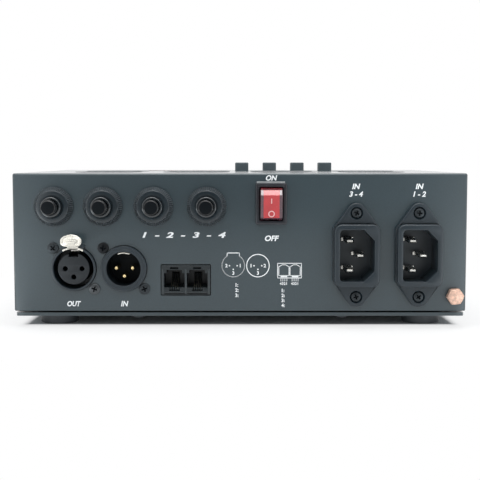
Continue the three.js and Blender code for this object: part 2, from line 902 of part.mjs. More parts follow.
// The rocker about its pivot, tipped to the position with its lower end pressed
function switchRocker() {
  const radius = rockerRadius();
  const upper = rockerEndAngles.map((angle) => [radius * Math.cos(angle), radius * Math.sin(angle)]);
  const lower = upper.map(([out, up]) => [out, -up]).reverse();
  const profile = [...lower, [rockerDishShare * radius, 0], ...upper];
  const end = rockerWidth() / 2 + trunnionReach;
  const trunnion = cylinder(trunnionRadius, -end, end, smallSides).rotateY(Math.PI / 2);
  return join(sideProfile(profile, rockerWidth()), trunnion);
}

// Mains inlets

function inletBodyWidth() {
  return inletMouthWidth + 2 * inletWall;
}

function inletBodyHeight() {
  return inletMouthHeight + 2 * inletWall;
}

// The flange: straight sides, then tangents to the two screw ears
function inletFlange() {
  const side = inletFlangeWidth / 2;
  const ear = inletScrewPitch / 2;
  const away = Math.hypot(side, ear - inletShoulder);
  const tangent = Math.acos(inletEarRadius / away) - Math.atan2(ear - inletShoulder, side);
  return new THREE.Shape()
    .moveTo(side, -inletShoulder)
    .lineTo(side, inletShoulder)
    .absarc(0, ear, inletEarRadius, tangent, Math.PI - tangent)
    .lineTo(-side, inletShoulder)
    .lineTo(-side, -inletShoulder)
    .absarc(0, -ear, inletEarRadius, Math.PI + tangent, -tangent);
}

// The mouth: two corners on the right are cut off, as on the plug
function inletMouth() {
  const [x, y] = [inletMouthWidth / 2, inletMouthHeight / 2];
  const [cut45, round] = [inletMouthChamfer, inletMouthCorner];
  return new THREE.Shape()
    .moveTo(x - cut45, -y)
    .lineTo(x, cut45 - y)
    .lineTo(x, y - cut45)
    .lineTo(x - cut45, y)
    .absarc(round - x, y - round, round, Math.PI / 2, Math.PI)
    .absarc(round - x, round - y, round, Math.PI, Math.PI * 1.5);
}

function inletHousing() {
  const cavityFloor = inletRimFront - inletCavityDepth;
  const flange = loft([
    [inletFlange(), seatGap],
    [inletFlange(), inletFlangeFront],
  ], arcSteps);
  const rim = bevelled(inletRimWidth, inletRimHeight, inletRimCorner, inletRimEdge, seatGap, inletRimFront);
  const body = prism(
    rounded(inletBodyWidth(), inletBodyHeight(), inletMouthCorner),
    cavityFloor - inletFloor,
    inletFlangeFront,
  );
  const slots = inletBlades.map((blade) => (
    block(bladeWidth + 2 * seatGap, bladeThickness + 2 * seatGap, 2 * (inletFloor + overrun))
      .translate(...bladePlace(blade), cavityFloor - inletFloor)
  ));
  return cut(join(flange, rim, body), prism(inletMouth(), cavityFloor, inletRimFront + overrun), ...slots);
}

function bladePlace({ acrossShare, upShare }) {
  return [acrossShare * inletMouthWidth, upShare * inletMouthHeight];
}

function inletBlade() {
  const tip = inletRimFront - bladeTipDepth;
  const full = rectangle(bladeWidth, bladeThickness);
  const slim = rectangle(bladeWidth - 2 * bladeTipTaper, bladeThickness - 2 * bladeTipTaper);
  const back = inletRimFront - inletCavityDepth - inletFloor - bladeTail;
  return loft([[full, back], [full, tip - bladeTipLength], [slim, tip]]);
}

// Earth bolt

function hexagon(radius, turn) {
  return star(hexSides, radius, radius, turn);
}

function earthBolt() {
  const front = seatGap + boltHeadThickness;
  const head = loft([
    [hexagon(boltHeadRadius, 0), seatGap],
    [hexagon(boltHeadRadius, 0), front - boltHeadChamfer],
    [hexagon(boltHeadRadius - boltHeadChamfer, 0), front],
  ]);
  return join(head, cylinder(boltShankRadius, -boltShankLength, front - boltHeadChamfer, smallSides));
}

function earthNut() {
  const turned = hexagon(boltNutRadius, Math.PI / hexSides);
  const nut = prism(turned, -behindPanel - boltNutThickness, -behindPanel);
  return cut(nut, cylinder(boltShankRadius + seatGap, -boltShankLength, 0, smallSides));
}

// Duplex outlet, hung under the top: its axis along Y and the top's outer face at zero

function outlet() {
  const top = -behindPanel;
  const [footWidth, footLength] = [outletWidth - 2 * outletFootInset, outletLength - 2 * outletFootInset];
  const body = loft([
    [rounded(footWidth, footLength, outletCorner), top - outletDepth],
    [rounded(outletWidth, outletLength, outletCorner), top - outletDepth / 2],
    [rounded(outletWidth, outletLength, outletCorner), top],
  ]);
  const face = flattened(outletFaceRadius, outletFaceFlat);
  const slimFace = flattened(outletFaceRadius - outletFaceEdge, outletFaceFlat - outletFaceEdge);
  const faces = spread(2, outletFacePitch, 0).map((y) => loft([
    [face, top - outletFaceEdge],
    [face, outletFaceRise - outletFaceEdge / 2],
    [slimFace, outletFaceRise],
  ], arcSteps).translate(0, y, 0));
  const slots = spread(2, outletFacePitch, 0).flatMap((y) => outletSlots().map((slot) => (
    slot.translate(0, y, 0)
  )));
  return cut(join(body, ...faces), ...slots);
}

function outletSlots() {
  const floor = outletFaceRise - outletHoleDepth;
  const mouth = outletFaceRise + overrun;
  const narrow = prism(rectangle(bladeSlotWidth, bladeSlotLength), floor, mouth);
  const wide = prism(rectangle(bladeSlotWidth, wideSlotLength), floor, mouth);
  const earth = prism(earthHole(), floor, mouth, arcSteps);
  return [
    narrow.translate(bladeSlotPitch / 2, -bladeSlotOffset, 0),
    wide.translate(-bladeSlotPitch / 2, -bladeSlotOffset, 0),
    earth.translate(0, earthHoleOffset, 0),
  ];
}

// Straight on the side of the blades and round on the other
function earthHole() {
  const radius = earthHoleWidth / 2;
  const flat = earthHoleLength - radius;
  return new THREE.Shape()
    .moveTo(-radius, -flat)
    .lineTo(radius, -flat)
    .absarc(0, 0, radius, 0, Math.PI);
}

// Keys and display

function keyHole() {
  return keyWidth + 2 * runningGap;
}

function key() {
  const collarTop = -behindPanel;
  const stemFoot = tactHeight + keyTravel + seatGap - sheet - controlBoardDrop;
  const collarWidth = keyHole() + 2 * keyCollar;
  return join(
    bevelled(keyWidth, keyWidth, keyCorner, keyEdge, collarTop - keyCollarThickness / 2, keyRise),
    prism(rounded(collarWidth, collarWidth, keyCorner), collarTop - keyCollarThickness, collarTop),
    cylinder(keyStemRadius, stemFoot, collarTop - keyCollarThickness / 2, smallSides),
  );
}

function displayWindow() {
  const collar = rounded(windowWidth + 2 * windowCollar, windowDepth + 2 * windowCollar, windowCorner);
  const low = -behindPanel - windowCollarThickness;
  return join(
    bevelled(windowWidth, windowDepth, windowCorner, windowRise, low, windowRise),
    prism(collar, low, -behindPanel),
  );
}

// Boards: each span gives the low and high edge along X and along Y

function mainBoardSpan() {
  const x = caseWidth / 2 - sheet - boardMargin;
  return { x: [-x, x], y: [outletFrontY, caseDepth - sheet - boardMargin] };
}

function controlBoardSpan() {
  const half = controlBoardWidth / 2;
  const back = outletFrontY + outletLength + controlBoardMargin;
  return { x: [-half, half], y: [back, caseDepth - sheet - controlBoardMargin] };
}

function corners(span, inset) {
  const [[x0, x1], [y0, y1]] = [span.x, span.y];
  const [left, right, back, front] = [x0 + inset, x1 - inset, y0 + inset, y1 - inset];
  return [[left, back], [right, back], [left, front], [right, front]];
}

function mainPostPlaces() {
  return corners(mainBoardSpan(), postInset);
}

function controlPostPlaces() {
  return corners(controlBoardSpan(), postRadius + seatGap);
}

function board(span) {
  const [[x0, x1], [y0, y1]] = [span.x, span.y];
  return block(x1 - x0, y1 - y0, boardThickness).translate((x0 + x1) / 2, (y0 + y1) / 2, boardThickness / 2);
}

function mainBoard() {
  return board(mainBoardSpan()).translate(0, 0, plateTop + postHeight);
}

function controlBoard() {
  const top = caseTop - sheet - controlBoardDrop;
  const switches = keyXs.map((x) => (
    block(tactWidth, tactWidth, tactHeight + boardThickness)
      .translate(x, keyY, top + (tactHeight - boardThickness) / 2)
  ));
  return join(board(controlBoardSpan()).translate(0, 0, top - boardThickness), ...switches);
}

function digits() {
  const low = caseTop - sheet - controlBoardDrop;
  const high = caseTop - behindPanel - windowCollarThickness - seatGap;
  return block(digitsWidth, digitsDepth, high - low).translate(windowX, keyY, (high + low) / 2);
}

// The board behind the data sockets stands parallel to the panel
function dataBoard() {
  const low = dataOutX - outRingRadius - dataBoardMargin;
  const high = linkX + linkWidth / 2 + dataBoardMargin;
  const front = seatGap - socketBack();
  const middle = dataZ + dataBoardHeight / 2 - outRingRadius - flangeLip;
  return block(high - low, boardThickness, dataBoardHeight)
    .translate((high + low) / 2, front + boardThickness / 2, middle);
}

// Power stage, on the main board

function boardTop() {
  return plateTop + postHeight + boardThickness;
}

function heatsink() {
  const back = mainBoardSpan().y[1] - boardMargin;
  const base = back - finReach;
  const half = heatsinkWidth / 2;
  const comb = [[-half, base - heatsinkBase], [half, base - heatsinkBase]];
  for (const x of spread(finCount, (heatsinkWidth - finThickness) / (finCount - 1), 0).reverse()) {
    comb.push([x + finThickness / 2, base], [x + finThickness / 2, back]);
    comb.push([x - finThickness / 2, back], [x - finThickness / 2, base]);
  }
  const sink = prism(polygon(comb), 0, heatsinkHeight);
  const triacs = spread(chokeCount, heatsinkWidth / chokeCount, 0).map((x) => (
    block(triacWidth, triacThickness + heatsinkBase, triacHeight).translate(
      x,
      base - heatsinkBase / 2 - (triacThickness + heatsinkBase) / 2,
      heatsinkHeight / 2,
    )
  ));
  return join(sink, ...triacs).translate(0, 0, boardTop());
}

function choke() {
  return revolve([
    [chokeBore, 0],
    [chokeRadius, 0],
    [chokeRadius, chokeHeight - chokeEdge],
    [chokeRadius - chokeEdge, chokeHeight],
    [chokeBore + chokeEdge / 2, chokeHeight],
    [chokeBore, chokeHeight - chokeEdge / 2],
    [chokeBore, 0],
  ], smallSides);
}

function transformer() {
  const room = caseTop - behindPanel - outletDepth - boardTop();
  const height = coreHeightShare * room;
  return join(
    block(coreWidth, coreDepth, height),
    block(bobbinWidth, bobbinDepth, bobbinHeightShare * height),
  ).translate(0, 0, height / 2);
}

function boardY(share) {
  const [low, high] = mainBoardSpan().y;
  return low + share * (high - low);
}

// Assembly: the case group's Y runs inwards from the panel's outer face, the panel group's Z outwards

const pack = new THREE.Group();
const casing = new THREE.Group();
const panel = new THREE.Group();
casing.position.y = (breakerReach - caseDepth) / 2;
panel.rotation.x = Math.PI / 2;
casing.add(panel);
pack.add(casing);

function place(parent, name, geometry, material, x = 0, y = 0, z = 0) {
  const mesh = new THREE.Mesh(geometry, material);
  mesh.name = name;
  mesh.position.set(x, y, z);
  parent.add(mesh);
  return mesh;
}

place(casing, 'top_cover', cover(), powderCoat);
place(casing, 'base_plate', basePlate(), powderCoat);
const footReach = footMargin + footRadius;
[
  [footReach - caseWidth / 2, footReach],
  [caseWidth / 2 - footReach, footReach],
  [footReach - caseWidth / 2, caseDepth - footReach],
  [caseWidth / 2 - footReach, caseDepth - footReach],
].forEach(([x, y], i) => place(casing, `foot_${i + 1}`, foot(), rubber, x, y));

breakerAcrossShares.forEach((share, i) => {
  const x = share * caseWidth;
  place(panel, `breaker_${i + 1}_body`, breakerBody(), blackPlastic, x, breakerZ);
  place(panel, `breaker_${i + 1}_nut`, breakerNut(), blackPlastic, x, breakerZ);
  place(panel, `breaker_${i + 1}_button`, breakerButton(), blackPlastic, x, breakerZ);
});

place(panel, 'data_out_shell', dataOutShell(), blackPlastic, dataOutX, dataZ);
place(panel, 'data_out_insert', dataOutInsert(), blackPlastic, dataOutX, dataZ);
place(panel, 'data_out_latch', dataOutLatch(), nickel, dataOutX, dataZ);
place(panel, 'data_in_shell', dataInShell(), blackPlastic, dataInX, dataZ);
place(panel, 'data_in_spring', dataInSpring(), nickel, dataInX, dataZ);
contactPlaces().forEach(([x, y], i) => {
  place(panel, `data_in_pin_${i + 1}`, dataInPin(), gold, dataInX + x, dataZ + y);
});

place(panel, 'link_jack_housing', linkHousing(), greyPlastic, linkX, linkZ);
spread(2, linkPortPitch, linkX).forEach((x, i) => {
  place(panel, `link_jack_contacts_${i + 1}`, linkContacts(), gold, x, linkZ);
});

place(panel, 'switch_body', switchBody(), blackPlastic, switchX, switchZ);
place(panel, 'switch_rocker', switchRocker(), redPlastic, switchX, switchZ, rockerPivotFront)
  .rotation.x = rockerSwing;

inletXs.forEach((x, i) => {
  place(panel, `inlet_${i + 1}_housing`, inletHousing(), blackPlastic, x, inletZ);
  for (const blade of inletBlades) {
    const [across, up] = bladePlace(blade);
    place(panel, `inlet_${i + 1}_${blade.name}_pin`, inletBlade(), steel, x + across, inletZ + up);
  }
});

place(panel, 'earth_bolt', earthBolt(), copper, boltX, boltZ);
place(panel, 'earth_nut', earthNut(), steel, boltX, boltZ);

outletXs.forEach((x, i) => place(casing, `outlet_${i + 1}`, outlet(), blackPlastic, x, outletY, caseTop));
keyXs.forEach((x, i) => place(casing, `key_${i + 1}`, key(), greyPlastic, x, keyY, caseTop));
place(casing, 'display_window', displayWindow(), darkWindow, windowX, keyY, caseTop);
place(casing, 'display_digits', digits(), greyPlastic);

place(casing, 'main_board', mainBoard(), circuitBoard);
place(casing, 'control_board', controlBoard(), circuitBoard);
place(casing, 'data_board', dataBoard(), circuitBoard);
place(casing, 'heatsink', heatsink(), bareAluminium);
chokeAcrossShares.forEach((share, i) => {
  place(casing, `choke_${i + 1}`, choke(), enamel, share * caseWidth, boardY(chokeDepthShare), boardTop());
});
const transformerX = coreAcrossShare * caseWidth;
place(casing, 'transformer', transformer(), steel, transformerX, boardY(chokeDepthShare), boardTop());

export default pack;
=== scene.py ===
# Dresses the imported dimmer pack: finer pieces, printed marks, materials, light and the photograph's camera.
# The scene is in metres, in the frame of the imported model: +Z up, the connector panel faces -Y.
# Pieces are drawn in millimetres about their own centres and then put in place.
import math

import bmesh
import bpy
from mathutils import Matrix, Vector
from mathutils.geometry import tessellate_polygon


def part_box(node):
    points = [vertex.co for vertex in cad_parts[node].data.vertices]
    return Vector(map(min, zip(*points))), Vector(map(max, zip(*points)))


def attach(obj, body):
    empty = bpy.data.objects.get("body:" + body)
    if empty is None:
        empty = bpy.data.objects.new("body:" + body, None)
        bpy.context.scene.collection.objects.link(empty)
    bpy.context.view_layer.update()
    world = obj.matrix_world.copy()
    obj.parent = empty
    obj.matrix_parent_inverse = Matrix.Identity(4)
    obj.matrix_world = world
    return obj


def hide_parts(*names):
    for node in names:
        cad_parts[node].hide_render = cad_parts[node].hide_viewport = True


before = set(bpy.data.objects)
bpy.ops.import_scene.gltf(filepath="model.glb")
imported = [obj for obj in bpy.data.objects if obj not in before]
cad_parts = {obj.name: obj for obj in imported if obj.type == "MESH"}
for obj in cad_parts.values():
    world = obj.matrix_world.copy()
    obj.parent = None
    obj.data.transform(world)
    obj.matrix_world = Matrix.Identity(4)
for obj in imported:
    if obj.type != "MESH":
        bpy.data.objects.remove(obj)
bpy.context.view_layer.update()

MM = 0.001
WELD = 0.0004
SHARP = math.radians(33)
ROUND, FINE = 64, 96
CORNER_STEPS, EDGE_STEPS, ARC_STEPS = 5, 3, 16
UP = math.pi / 2
SIDES = (-1, 1)
CHANNELS = range(1, 5)


# Places, read from the frame

def box_mm(node):
    low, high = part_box(node)
    return low / MM, high / MM


def centre_mm(node):
    low, high = box_mm(node)
    return (low + high) / 2


def radius_mm(node):
    low, high = box_mm(node)
    return (high.x - low.x) / 2


CASE_LOW, CASE_HIGH = box_mm("top_cover")
PANEL_Y, TOP_Z = CASE_LOW.y, CASE_HIGH.z
BEHIND = -1.8  # from a sheet's outer face to what lies just under the sheet
QUARTER_TURN = Matrix.Rotation(math.pi / 2, 4, "X")
UPSIDE_DOWN = Matrix.Rotation(math.pi, 4, "X")


def reach_mm(node):
    """How far a node reaches in front of and behind the panel's face, outwards positive."""
    low, high = box_mm(node)
    return PANEL_Y - low.y, PANEL_Y - high.y


def at(x, y, z):
    return Matrix.Scale(MM, 4) @ Matrix.Translation((x, y, z))


def on_panel(x, z, out=0.0):
    """Local X to the right, Y up and Z out of the panel, in millimetres."""
    return at(x, PANEL_Y - out, z) @ QUARTER_TURN


def over(node):
    """The place on the panel at the middle of a node."""
    middle = centre_mm(node)
    return on_panel(middle.x, middle.z)


def evenly(count, pitch):
    """Offsets at that distance from each other, centred on zero."""
    return [(i - (count - 1) / 2) * pitch for i in range(count)]


# Outlines: lists of points that run anticlockwise

def arc_points(radius, start, end, count=ARC_STEPS, x=0.0, y=0.0):
    angles = [start + (end - start) * i / count for i in range(count + 1)]
    return [Vector((x + radius * math.cos(a), y + radius * math.sin(a))) for a in angles]


def arc_band(outer, inner, half):
    """A band between two radii that reaches as far to both sides of the top as that angle."""
    return arc_points(outer, UP - half, UP + half) + arc_points(inner, UP + half, UP - half)


def circle(radius, count=ROUND, x=0.0, y=0.0):
    return arc_points(radius, 0, 2 * math.pi, count, x, y)[:-1]


def rounded_box(width, height, radius, x=0.0, y=0.0, steps=CORNER_STEPS):
    points = []
    for quarter, (sx, sy) in enumerate([(1, 1), (-1, 1), (-1, -1), (1, -1)]):
        for step in range(steps + 1):
            angle = (quarter + step / steps) * math.pi / 2
            points.append(Vector((
                x + sx * (width / 2 - radius) + radius * math.cos(angle),
                y + sy * (height / 2 - radius) + radius * math.sin(angle),
            )))
    return points


def rectangle(width, height, x=0.0, y=0.0):
    corners = [(1, 1), (-1, 1), (-1, -1), (1, -1)]
    return [Vector((x + sx * width / 2, y + sy * height / 2)) for sx, sy in corners]


def softened(points, radius=0.0, steps=EDGE_STEPS, closed=True):
    """The outline with its corners rounded. A point may bring its own radius as a third value."""
    corners = [Vector(p[:2]) for p in points]
    count = len(corners)
    result = []
    for i, corner in enumerate(corners):
        own = points[i][2] if len(points[i]) > 2 else radius
        if own <= 0 or (not closed and i in (0, count - 1)):
            result.append(corner)
            continue
        back = corners[i - 1] - corner
        ahead = corners[(i + 1) % count] - corner
        half = back.angle(ahead) / 2
        reach = min(own / math.tan(half), 0.48 * back.length, 0.48 * ahead.length) if half > 1e-3 else 0
        start, end = corner + back.normalized() * reach, corner + ahead.normalized() * reach
        for step in range(steps + 1):
            t = step / steps
            result.append(start * (1 - t) ** 2 + corner * 2 * t * (1 - t) + end * t ** 2)
    return result


def inset(loop, distance):
    """The outline moved inwards by that distance, or outwards where it is negative."""
    count = len(loop)
    result = []
    for i, point in enumerate(loop):
        before = (point - loop[i - 1]).normalized()
        after = (loop[(i + 1) % count] - point).normalized()
        first, second = Vector((-before.y, before.x)), Vector((-after.y, after.x))
        result.append(point + (first + second) * (distance / (1 + first.dot(second))))
    return result


# Stacks of outlines with their heights

def rounding(loop, edge, face, towards, inwards=1, steps=EDGE_STEPS):
    """Outlines of a rounded edge, from the face to the side."""
    angles = [math.pi / 2 * i / steps for i in range(steps + 1)]
    return [(inset(loop, inwards * edge * (1 - math.sin(a))), face + towards * edge * (1 - math.cos(a)))
            for a in angles]


def edged(loop, low, high, low_edge=0.0, high_edge=0.0, steps=EDGE_STEPS):
    """Outlines from low to high with rounded edges."""
    start = rounding(loop, low_edge, low, 1, steps=steps) if low_edge else [(loop, low)]
    end = rounding(loop, high_edge, high, -1, steps=steps)[::-1] if high_edge else [(loop, high)]
    return start + end


def cavity(loop, top, floor, edge=0.0):
    """Outlines of a pocket or hole from its rounded mouth down."""
    mouth = rounding(loop, edge, top, -1, inwards=-1) if edge else [(loop, top)]
    return mouth + [(loop, floor)]


# Closed forms

def bridge(bm, lower, upper):
    """Faces between two rings of vertices. A ring may be a single point."""
    sides = max(len(lower), len(upper))
    for i in range(sides if sides > 1 else 0):
        j = (i + 1) % sides
        if len(lower) == 1:
            bm.faces.new((lower[0], upper[j], upper[i]))
        elif len(upper) == 1:
            bm.faces.new((lower[i], lower[j], upper[0]))
        else:
            bm.faces.new((lower[i], lower[j], upper[j], upper[i]))


def skin(bm, sections):
    """Walls through outlines with equally many points."""
    rings = [[bm.verts.new((p.x, p.y, z)) for p in loop] for loop, z in sections]
    for lower, upper in zip(rings, rings[1:]):
        bridge(bm, lower, upper)


def cap(bm, loops, z):
    """A flat face at that height: the first outline, less the others."""
    points = [[Vector((p.x, p.y, z)) for p in loop] for loop in loops]
    verts = [bm.verts.new(p) for loop in points for p in loop]
    for triangle in tessellate_polygon(points):
        if len(set(triangle)) == 3:
            bm.faces.new([verts[i] for i in triangle])


def form(sections, pockets=(), holes=()):
    """A closed form through outlines, from the lowest to the highest. Pockets and holes start at the top."""
    bm = bmesh.new()
    skin(bm, sections)
    for opening in (*pockets, *holes):
        skin(bm, opening)
    for pocket in pockets:
        cap(bm, [pocket[-1][0]], pocket[-1][1])
    cap(bm, [sections[0][0], *(hole[-1][0] for hole in holes)], sections[0][1])
    cap(bm, [sections[-1][0], *(opening[0][0] for opening in (*pockets, *holes))], sections[-1][1])
    bmesh.ops.remove_doubles(bm, verts=bm.verts, dist=WELD)
    return bm


def block(loop, low, high, low_edge=0.0, high_edge=0.0, pockets=(), holes=()):
    """A closed form between two heights, with rounded edges."""
    return form(edged(loop, low, high, low_edge, high_edge), pockets, holes)


def washer(outer, inner, low, high, count=ROUND, x=0.0, y=0.0):
    """A flat ring."""
    return block(circle(outer, count, x, y), low, high, holes=[cavity(circle(inner, count, x, y), high, low)])


def lathe(points, closed=False, steps=4, sides=FINE, shaped=None):
    """A profile of radius and height with its corners rounded, turned about Z.
    shaped changes a radius by its angle and height."""
    bm = bmesh.new()
    rings = []
    for radius, height in softened(points, steps=steps, closed=closed):
        if radius < WELD:
            rings.append([bm.verts.new((0, 0, height))])
            continue
        ring = []
        for i in range(sides):
            angle = 2 * math.pi * i / sides
            r = shaped(radius, angle, height) if shaped else radius
            ring.append(bm.verts.new((r * math.cos(angle), r * math.sin(angle), height)))
        rings.append(ring)
    following = rings[1:] + rings[:1] if closed else rings[1:]
    for lower, upper in zip(rings, following):
        bridge(bm, lower, upper)
    return bm


def tube(path, radius, sides=10):
    """A round wire along a path of points."""
    bm = bmesh.new()
    rings = []
    points = [Vector(p) for p in path]
    for i, point in enumerate(points):
        ahead = (points[min(i + 1, len(points) - 1)] - points[max(i - 1, 0)]).normalized()
        turn = ahead.to_track_quat("Z", "Y")
        rings.append([bm.verts.new(point + turn @ Vector((p.x, p.y, 0))) for p in circle(radius, sides)])
    for lower, upper in zip(rings, rings[1:]):
        bridge(bm, lower, upper)
    bm.faces.new(rings[0][::-1])
    bm.faces.new(rings[-1])
    return bm


def moved(bm, matrix):
    bm.transform(matrix)
    return bm


def shifted(bm, x=0.0, y=0.0):
    return moved(bm, Matrix.Translation((x, y, 0)))


def merged(*forms):
    """Several forms as one mesh."""
    mesh = bpy.data.meshes.new("merged")
    result = bmesh.new()
    for bm in forms:
        bmesh.ops.recalc_face_normals(bm, faces=bm.faces)
        bm.to_mesh(mesh)
        bm.free()
        result.from_mesh(mesh)
    bpy.data.meshes.remove(mesh)
    return result


def linked(name, data):
    """A new object in the scene."""
    obj = bpy.data.objects.new(name, data)
    bpy.context.scene.collection.objects.link(obj)
    return obj


def piece(name, bm, material, place, replaces=(), body="chassis", choose=None):
    """Puts a form in place as a piece that rides on a body. choose gives a face its material's index."""
    bmesh.ops.recalc_face_normals(bm, faces=bm.faces)
    if choose:
        for face in bm.faces:
            face.material_index = choose(face.calc_center_median(), face.normal)
    bm.transform(place)
    mesh = bpy.data.meshes.new(name)
    bm.to_mesh(mesh)
    bm.free()
    mesh.shade_smooth()
    mesh.set_sharp_from_angle(angle=SHARP)
    for one in material if isinstance(material, list) else [material]:
        mesh.materials.append(one)
    obj = linked(name, mesh)
    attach(obj, body)
    if replaces:
        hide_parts(*replaces)
    return obj


# Materials

class Tree:
    """A node tree. A plain value is set on a socket, and another node's output is linked to it."""

    def __init__(self, tree):
        self.nodes, self.links = tree.nodes, tree.links

    def put(self, socket, value):
        if isinstance(value, bpy.types.NodeSocket):
            self.links.new(value, socket)
        else:
            socket.default_value = value

    def add(self, kind, inputs=None, **settings):
        node = self.nodes.new("ShaderNode" + kind)
        for name, value in settings.items():
            setattr(node, name, value)
        for socket, value in (inputs or {}).items():
            self.put(node.inputs[socket], value)
        return node

    def reckon(self, operation, *values):
        return self.add("Math", dict(enumerate(values)), operation=operation).outputs[0]

    def ranged(self, value, low, high, start=0.3, end=0.7):
        """The value's share of the way from start to end, as a value from low to high."""
        return self.add("MapRange", {
            "Value": value, "From Min": start, "From Max": end, "To Min": low, "To Max": high,
        }).outputs["Result"]

    def noise(self, size, detail=3.0, stretch=(1, 1, 1)):
        """Noise in the row frame whose features have that size in millimetres."""
        place = self.add("TexCoord").outputs["Object"]
        vector = self.add("Mapping", {"Vector": place, "Scale": stretch}).outputs["Vector"]
        texture = self.add("TexNoise", {"Vector": vector, "Scale": 1 / (size * MM), "Detail": detail})
        return texture.outputs["Fac"]

    def mixed(self, factor, first, second):
        mix = self.add("Mix", {"Factor": factor}, data_type="RGBA")
        for name, value in (("A", first), ("B", second)):
            socket = next(s for s in mix.inputs if s.name == name and s.type == "RGBA")
            self.put(socket, (*value, 1.0) if isinstance(value, tuple) else value)
        return next(s for s in mix.outputs if s.type == "RGBA")

    def edge_highlight_mask(self, width):
        """Near 1 along edges, where a rounded normal departs from the face's own: the mask of the painted
        edge highlight.
        """
        soft = self.add("Bevel", {"Radius": width * MM}, samples=6).outputs["Normal"]
        own = self.add("NewGeometry").outputs["Normal"]
        likeness = self.add("VectorMath", {0: soft, 1: own}, operation="DOT_PRODUCT").outputs["Value"]
        return self.ranged(likeness, 1.0, 0.0, 0.75, 0.995)

    def seen_white(self):
        """1 for camera, mirror and glass rays, which see plain white, and 0 for all other rays."""
        path = self.add("LightPath").outputs
        seen = self.reckon("MAXIMUM", path["Is Camera Ray"], path["Is Glossy Ray"])
        return self.reckon("MAXIMUM", seen, path["Is Transmission Ray"])


def shader(name):
    """A new material, with its node tree and its surface node."""
    material = bpy.data.materials.new(name)
    material.use_nodes = True
    return material, Tree(material.node_tree), material.node_tree.nodes["Principled BSDF"]


SPECKLE_SIZE = 0.8


def finish(name, colour, roughness, spread=(0.12, 30), grain=(0.5, 0.6, 0.02), edge=None, highlight_width=0.2,
           metallic=0.0, specular=0.5, coat=0.0, coat_roughness=0.12, coat_edge=None, through=0.0,
           uneven=0.06, speckle=0.0, stretch=(1, 1, 1)):
    """A finish with uneven colour and gloss, a fine surface and, where asked, paler edges, which are a
    painted highlight.
    spread has the share and size of the colour's patches. grain has the strength, size and depth of the
    fine surface. Sizes are in millimetres."""
    material, tree, surface = shader(name)
    share, patch_size = spread
    strength, grain_size, depth = grain
    darker = tuple(c * (1 - share) for c in colour)
    lighter = tuple(min(1.0, c * (1 + share)) for c in colour)
    tone = tree.mixed(tree.ranged(tree.noise(patch_size, 4.0), 0.0, 1.0), darker, lighter)
    if speckle:
        dots = tree.ranged(tree.noise(SPECKLE_SIZE, 2.0), 1 - speckle, 1 + speckle)
        tone = tree.add("VectorMath", {0: tone, "Scale": dots}, operation="SCALE").outputs[0]
    # The edge colour is a painted highlight along the edges, where rounded edges would catch the light.
    if edge:
        tone = tree.mixed(tree.edge_highlight_mask(highlight_width), tone, edge)
    fine = tree.noise(grain_size, 5.0, stretch)
    bump = tree.add("Bump", {"Strength": strength, "Distance": depth * MM, "Height": fine})
    for socket, value in {
        "Base Color": tone,
        "Metallic": metallic,
        "Roughness": tree.ranged(fine, roughness - uneven, roughness + uneven),
        "Specular IOR Level": specular,
        "Coat Weight": coat,
        "Coat Roughness": coat_roughness,
        "Transmission Weight": through,
        "Normal": bump.outputs["Normal"],
    }.items():
        tree.put(surface.inputs[socket], value)
    if coat_edge:
        facing = tree.add("LayerWeight").outputs["Facing"]
        tree.put(surface.inputs["Coat Weight"], tree.ranged(facing, coat, coat_edge, 0.0, 0.9))
    return material


# Where a finish below has an edge colour, that colour is a painted highlight along its edges.
POWDER = finish("powder_coat", (0.020, 0.040, 0.050), 0.50, (0.05, 60), (0.55, 0.45, 0.05),
                (0.055, 0.078, 0.090), coat=0.8, coat_roughness=0.15, coat_edge=1.0, speckle=0.06)
BLACK = finish("black_plastic", (0.016, 0.026, 0.034), 0.34, grain=(0.35, 0.35, 0.015),
               edge=(0.050, 0.056, 0.060))
GLOSS_BLACK = finish("black_gloss_plastic", (0.022, 0.024, 0.030), 0.22, grain=(0.2, 0.5, 0.010),
                     edge=(0.03, 0.033, 0.036))
BUTTON = finish("button_plastic", (0.004, 0.005, 0.006), 0.16, grain=(0.2, 0.3, 0.008),
                edge=(0.02, 0.022, 0.024), highlight_width=0.1)
BUTTON_FACE = finish("button_face", (0.003, 0.005, 0.007), 0.40, grain=(0.3, 0.3, 0.010), specular=0.12)
INSERT = finish("insert_plastic", (0.006, 0.010, 0.014), 0.50, grain=(0.4, 0.3, 0.02))
JACK = finish("jack_plastic", (0.011, 0.017, 0.020), 0.38, grain=(0.35, 0.3, 0.015),
              edge=(0.060, 0.068, 0.072), highlight_width=0.14)
COMB = finish("jack_comb", (0.036, 0.046, 0.050), 0.42, grain=(0.35, 0.3, 0.015))
NECK = finish("neck_plastic", (0.012, 0.017, 0.021), 0.18, grain=(0.2, 0.4, 0.010),
              edge=(0.06, 0.068, 0.074), highlight_width=0.15, coat=1.0, coat_roughness=0.1)
NUT = finish("nut_plastic", (0.014, 0.024, 0.031), 0.24, grain=(0.3, 0.35, 0.012),
             edge=(0.060, 0.070, 0.078), coat=0.4)
# Painted highlight on the tips of the nut's teeth, and painted shade in the gaps between them.
NUT_TIP_HIGHLIGHT = finish("nut_tip_highlight", (0.085, 0.100, 0.110), 0.30, grain=(0.3, 0.35, 0.012))
NUT_GAP_SHADE = finish("nut_gap_shade", (0.030, 0.037, 0.043), 0.40, grain=(0.3, 0.35, 0.012))
